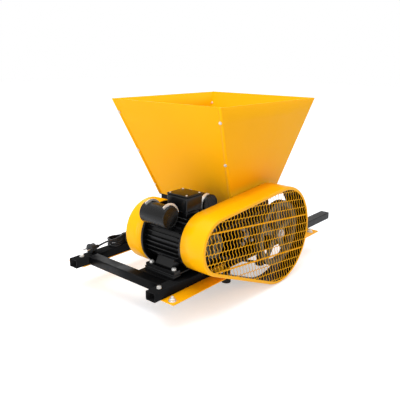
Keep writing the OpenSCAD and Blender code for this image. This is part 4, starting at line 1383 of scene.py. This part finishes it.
class CRUSHER_OT_capacitors(bpy.types.Operator):
    """Models the two capacitor covers with rounded rims, and their plated saddles"""
    bl_idname = "crusher.capacitors"
    bl_label = "Capacitors"

    def execute(self, context):
        bm = bmesh.new()
        for low, high in solids("capacitor_covers"):
            radius = (high.z - low.z) / 2
            length = high.y - low.y
            x, _, z = (low + high) / 2
            profile = [(0.8, 0), (0.8, radius - 5.5), (0, radius - 5)]
            profile += arc((2.4, radius - 2.4), 2.4, -90, 0, 4)
            profile += [(length * 0.5, radius)]
            profile += arc((length - 3, radius - 3), 3, 0, 90, 4)
            profile += [(length, 0)]
            turned(bm, profile, (x, low.y, z), Y_AXIS, 64)
        piece("capacitor_cans", bm, "capacitor_covers")
        bm = bmesh.new()
        for low, high in solids("capacitor_saddles"):
            self.saddle(bm, low, high)
        piece("plated_saddles", bm, "capacitor_saddles")
        return {"FINISHED"}

    @staticmethod
    def saddle(bm, low, high):
        """A strap round the inner side of a cover; on the -X cover it also bears a crescent flange."""
        side = -1 if (low.x + high.x) / 2 < MOTOR_X else 1
        covers = solids("capacitor_covers")
        cover_low, cover_high = covers[0] if side < 0 else covers[-1]
        centre = (cover_low + cover_high) / 2
        centre.y = 0
        radius = (cover_high.z - cover_low.z) / 2
        gap, flange_h = 0.1, 9
        start = Vector((centre.x, low.y, centre.z + radius + gap))
        width = Vector((0, high.y - low.y, 0))
        rows = [bm.verts.new(start), bm.verts.new(start + width)]
        strip = bm.edges.new(rows)
        swept(bm, [strip], centre, (0, side, 0), -math.radians(165), 24)
        faces = faces_at(reached(rows))
        bmesh.ops.recalc_face_normals(bm, faces=faces)
        outward = faces[0].calc_center_median() - centre
        outward.y = 0
        if faces[0].normal.dot(outward) < 0:
            bmesh.ops.reverse_faces(bm, faces=faces)
        bmesh.ops.solidify(bm, geom=faces, thickness=-2.4)
        if side > 0:
            return
        rim = bm.verts.new(start)
        tip = bm.verts.new((centre.x, low.y, centre.z + radius + flange_h))
        bmesh.ops.rotate(bm, verts=[rim, tip], cent=centre,
                         matrix=Matrix.Rotation(-side * math.radians(-35), 3, "Y"))
        edge = bm.edges.new((rim, tip))
        swept(bm, [rim, tip, edge], centre, (0, side, 0), -math.radians(115), 20)
        flange = faces_at(reached([rim]))
        bmesh.ops.recalc_face_normals(bm, faces=flange)
        if flange[0].normal.y > 0:
            bmesh.ops.reverse_faces(bm, faces=flange)
        bmesh.ops.solidify(bm, geom=flange, thickness=2.2)


class CRUSHER_OT_terminal_box(bpy.types.Operator):
    """Models the terminal box with its bevelled lid and four lid screws"""
    bl_idname = "crusher.terminal_box"
    bl_label = "Terminal box"

    def execute(self, context):
        low, high = span("terminal_box")
        bm = bmesh.new()
        block(bm, low, high, 4.0, 4)
        centre = middle("terminal_box")
        for vert in bm.verts:
            if vert.co.z < centre.z:
                vert.co.x = centre.x + (vert.co.x - centre.x) * 0.94
                vert.co.y = centre.y + (vert.co.y - centre.y) * 0.95
        piece("terminal_case", bm, "terminal_box")
        low, high = span("terminal_box_lid")
        slab("terminal_lid", "terminal_box_lid", low, high, 2.6, 4)
        bm = bmesh.new()
        inset = 8
        dome = [(0, 0), (0, 3.6), (1.2, 3.4), (1.8, 2.4), (1.9, 0)]
        for x in (low.x + inset, high.x - inset):
            for y in (low.y + inset, high.y - inset):
                turned(bm, dome, (x, y, high.z - 0.7), Z_AXIS, 20)
        piece("terminal_screws", bm, "terminal_box_lid", slot="zinc")
        return {"FINISHED"}


class CRUSHER_OT_motor_mounting(bpy.types.Operator):
    """Models the motor's base plate and rails with soft cast edges, and all the motor's bolts"""
    bl_idname = "crusher.motor_mounting"
    bl_label = "Motor mounting"

    def execute(self, context):
        self.base()
        self.bolts()
        return {"FINISHED"}

    @staticmethod
    def base():
        low, high = span("motor_base")
        bm = bmesh.new()
        plate, rail_width = high.z - 6, 36
        block(bm, (low.x, low.y, plate + 0.2), high, 1.2)
        for start in (low.x, high.x - rail_width):
            block(bm, (start, low.y, low.z), (start + rail_width, high.y, plate), 1.2)
        piece("motor_rails", bm, "motor_base")

    @staticmethod
    def bolts():
        foot_height = 9
        feet_top = span("motor_feet")[0].z + foot_height
        bm = bmesh.new()
        for turn, (low, high) in enumerate(solids("motor_bolts")):
            x, y, z = (low + high) / 2
            if high.z < MOTOR_Z - 60:
                size = (high.x - low.x) / 2
                headed(bm, (x, y, feet_top), 4.2, size, 1.3, 13.0, 5.3, turn=turn * 23.0)
                rod(bm, (x, y, low.z), 3.9, feet_top - low.z, sides=18)
            else:
                headed(bm, (x, high.y, z), 3.0, 6.2, 1.0, 9.6, high.y - low.y - 1.2, -Y_AXIS,
                       turn * 31.0)
        piece("motor_fasteners", bm, "motor_bolts")


# ---------------------------------------------------------------- crusher body

class CRUSHER_OT_body_fasteners(bpy.types.Operator):
    """Models the bearing bolts and the screws of the gear cover"""
    bl_idname = "crusher.body_fasteners"
    bl_label = "Body fasteners"

    def execute(self, context):
        housing_y = 12
        near = span("roller_plate_near")[0].y - housing_y
        far = span("roller_plate_far")[1].y + housing_y
        bm = bmesh.new()
        for turn, (low, high) in enumerate(solids("bearing_bolts")):
            centre = (low + high) / 2
            out, face_y = (-Y_AXIS, near) if centre.y < (near + far) / 2 else (Y_AXIS, far)
            at = Vector((centre.x, face_y, centre.z))
            headed(bm, at, 4.2, 7.4, 1.2, 13.0, 4.0, out, turn * 17.0)
            rod(bm, at - out * 18, 3.9, 18, out, 16)
        piece("bearing_fasteners", bm, "bearing_bolts")
        bm = bmesh.new()
        dome = [(0, 0), (0, 5), (1.4, 4.8), (2.6, 3.6), (3.3, 1.8), (3.4, 0)]
        for low, high in solids("gear_cover_screws"):
            x, _, z = (low + high) / 2
            turned(bm, dome, (x, high.y - 3.5, z), Y_AXIS, 28)
        piece("cover_screws", bm, "gear_cover_screws")
        return {"FINISHED"}


class CRUSHER_OT_gear_cover(bpy.types.Operator):
    """Models the gear cover as a pressed tray with rounded corners and a screw flange"""
    bl_idname = "crusher.gear_cover"
    bl_label = "Gear cover"

    def execute(self, context):
        low, high = span("gear_cover")
        tray_low = 2 * ROLLER_Z - high.z
        corner_r, crease_r, overlap = 14, 4, 2
        bm = bmesh.new()
        sleeve(bm, (low.x, low.y, tray_low), high, 1, corner_r, 6, closed_end=True)
        rim = [edge for edge in bm.edges if all(vert.co.y > high.y - 0.1 for vert in edge.verts)]
        rounded(bm, rim, crease_r, 4)
        piece("gear_tray", bm, "gear_cover", shell=SHEET, sharp=50)
        slab("gear_tray_flange", "gear_cover", low,
             (high.x, low.y + SHEET, tray_low + corner_r + overlap), 0.6)
        return {"FINISHED"}


OPERATORS = (
    CRUSHER_OT_stage, CRUSHER_OT_finishes, CRUSHER_OT_lead, CRUSHER_OT_frame,
    CRUSHER_OT_frame_fasteners, CRUSHER_OT_hopper, CRUSHER_OT_hopper_fasteners, CRUSHER_OT_guard,
    CRUSHER_OT_guard_mesh, CRUSHER_OT_belt_drive, CRUSHER_OT_motor_housing, CRUSHER_OT_motor_ends,
    CRUSHER_OT_capacitors, CRUSHER_OT_terminal_box, CRUSHER_OT_motor_mounting,
    CRUSHER_OT_body_fasteners, CRUSHER_OT_gear_cover)


class CRUSHER_PT_panel(bpy.types.Panel):
    """Lists the crusher's settings and the operators in their order"""
    bl_idname = "CRUSHER_PT_panel"
    bl_label = "Grape crusher"
    bl_space_type = "VIEW_3D"
    bl_region_type = "UI"
    bl_category = "Crusher"

    def draw(self, context):
        for group in (context.scene.crusher_colours, context.scene.crusher_sizes):
            for name in group.bl_rna.properties.keys():
                if name not in ("rna_type", "name"):
                    self.layout.prop(group, name)
        for operator in OPERATORS:
            self.layout.operator(operator.bl_idname)


CLASSES = (CrusherColours, CrusherSizes, *OPERATORS, CRUSHER_PT_panel)


def register():
    for made in CLASSES:
        bpy.utils.register_class(made)
    bpy.types.Scene.crusher_colours = bpy.props.PointerProperty(type=CrusherColours)
    bpy.types.Scene.crusher_sizes = bpy.props.PointerProperty(type=CrusherSizes)


def unregister():
    del bpy.types.Scene.crusher_sizes
    del bpy.types.Scene.crusher_colours
    for made in reversed(CLASSES):
        bpy.utils.unregister_class(made)


def main():
    register()
    for operator in OPERATORS:
        group, name = operator.bl_idname.split(".")
        getattr(getattr(bpy.ops, group), name)()
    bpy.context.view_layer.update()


if __name__ == "__main__":
    main()
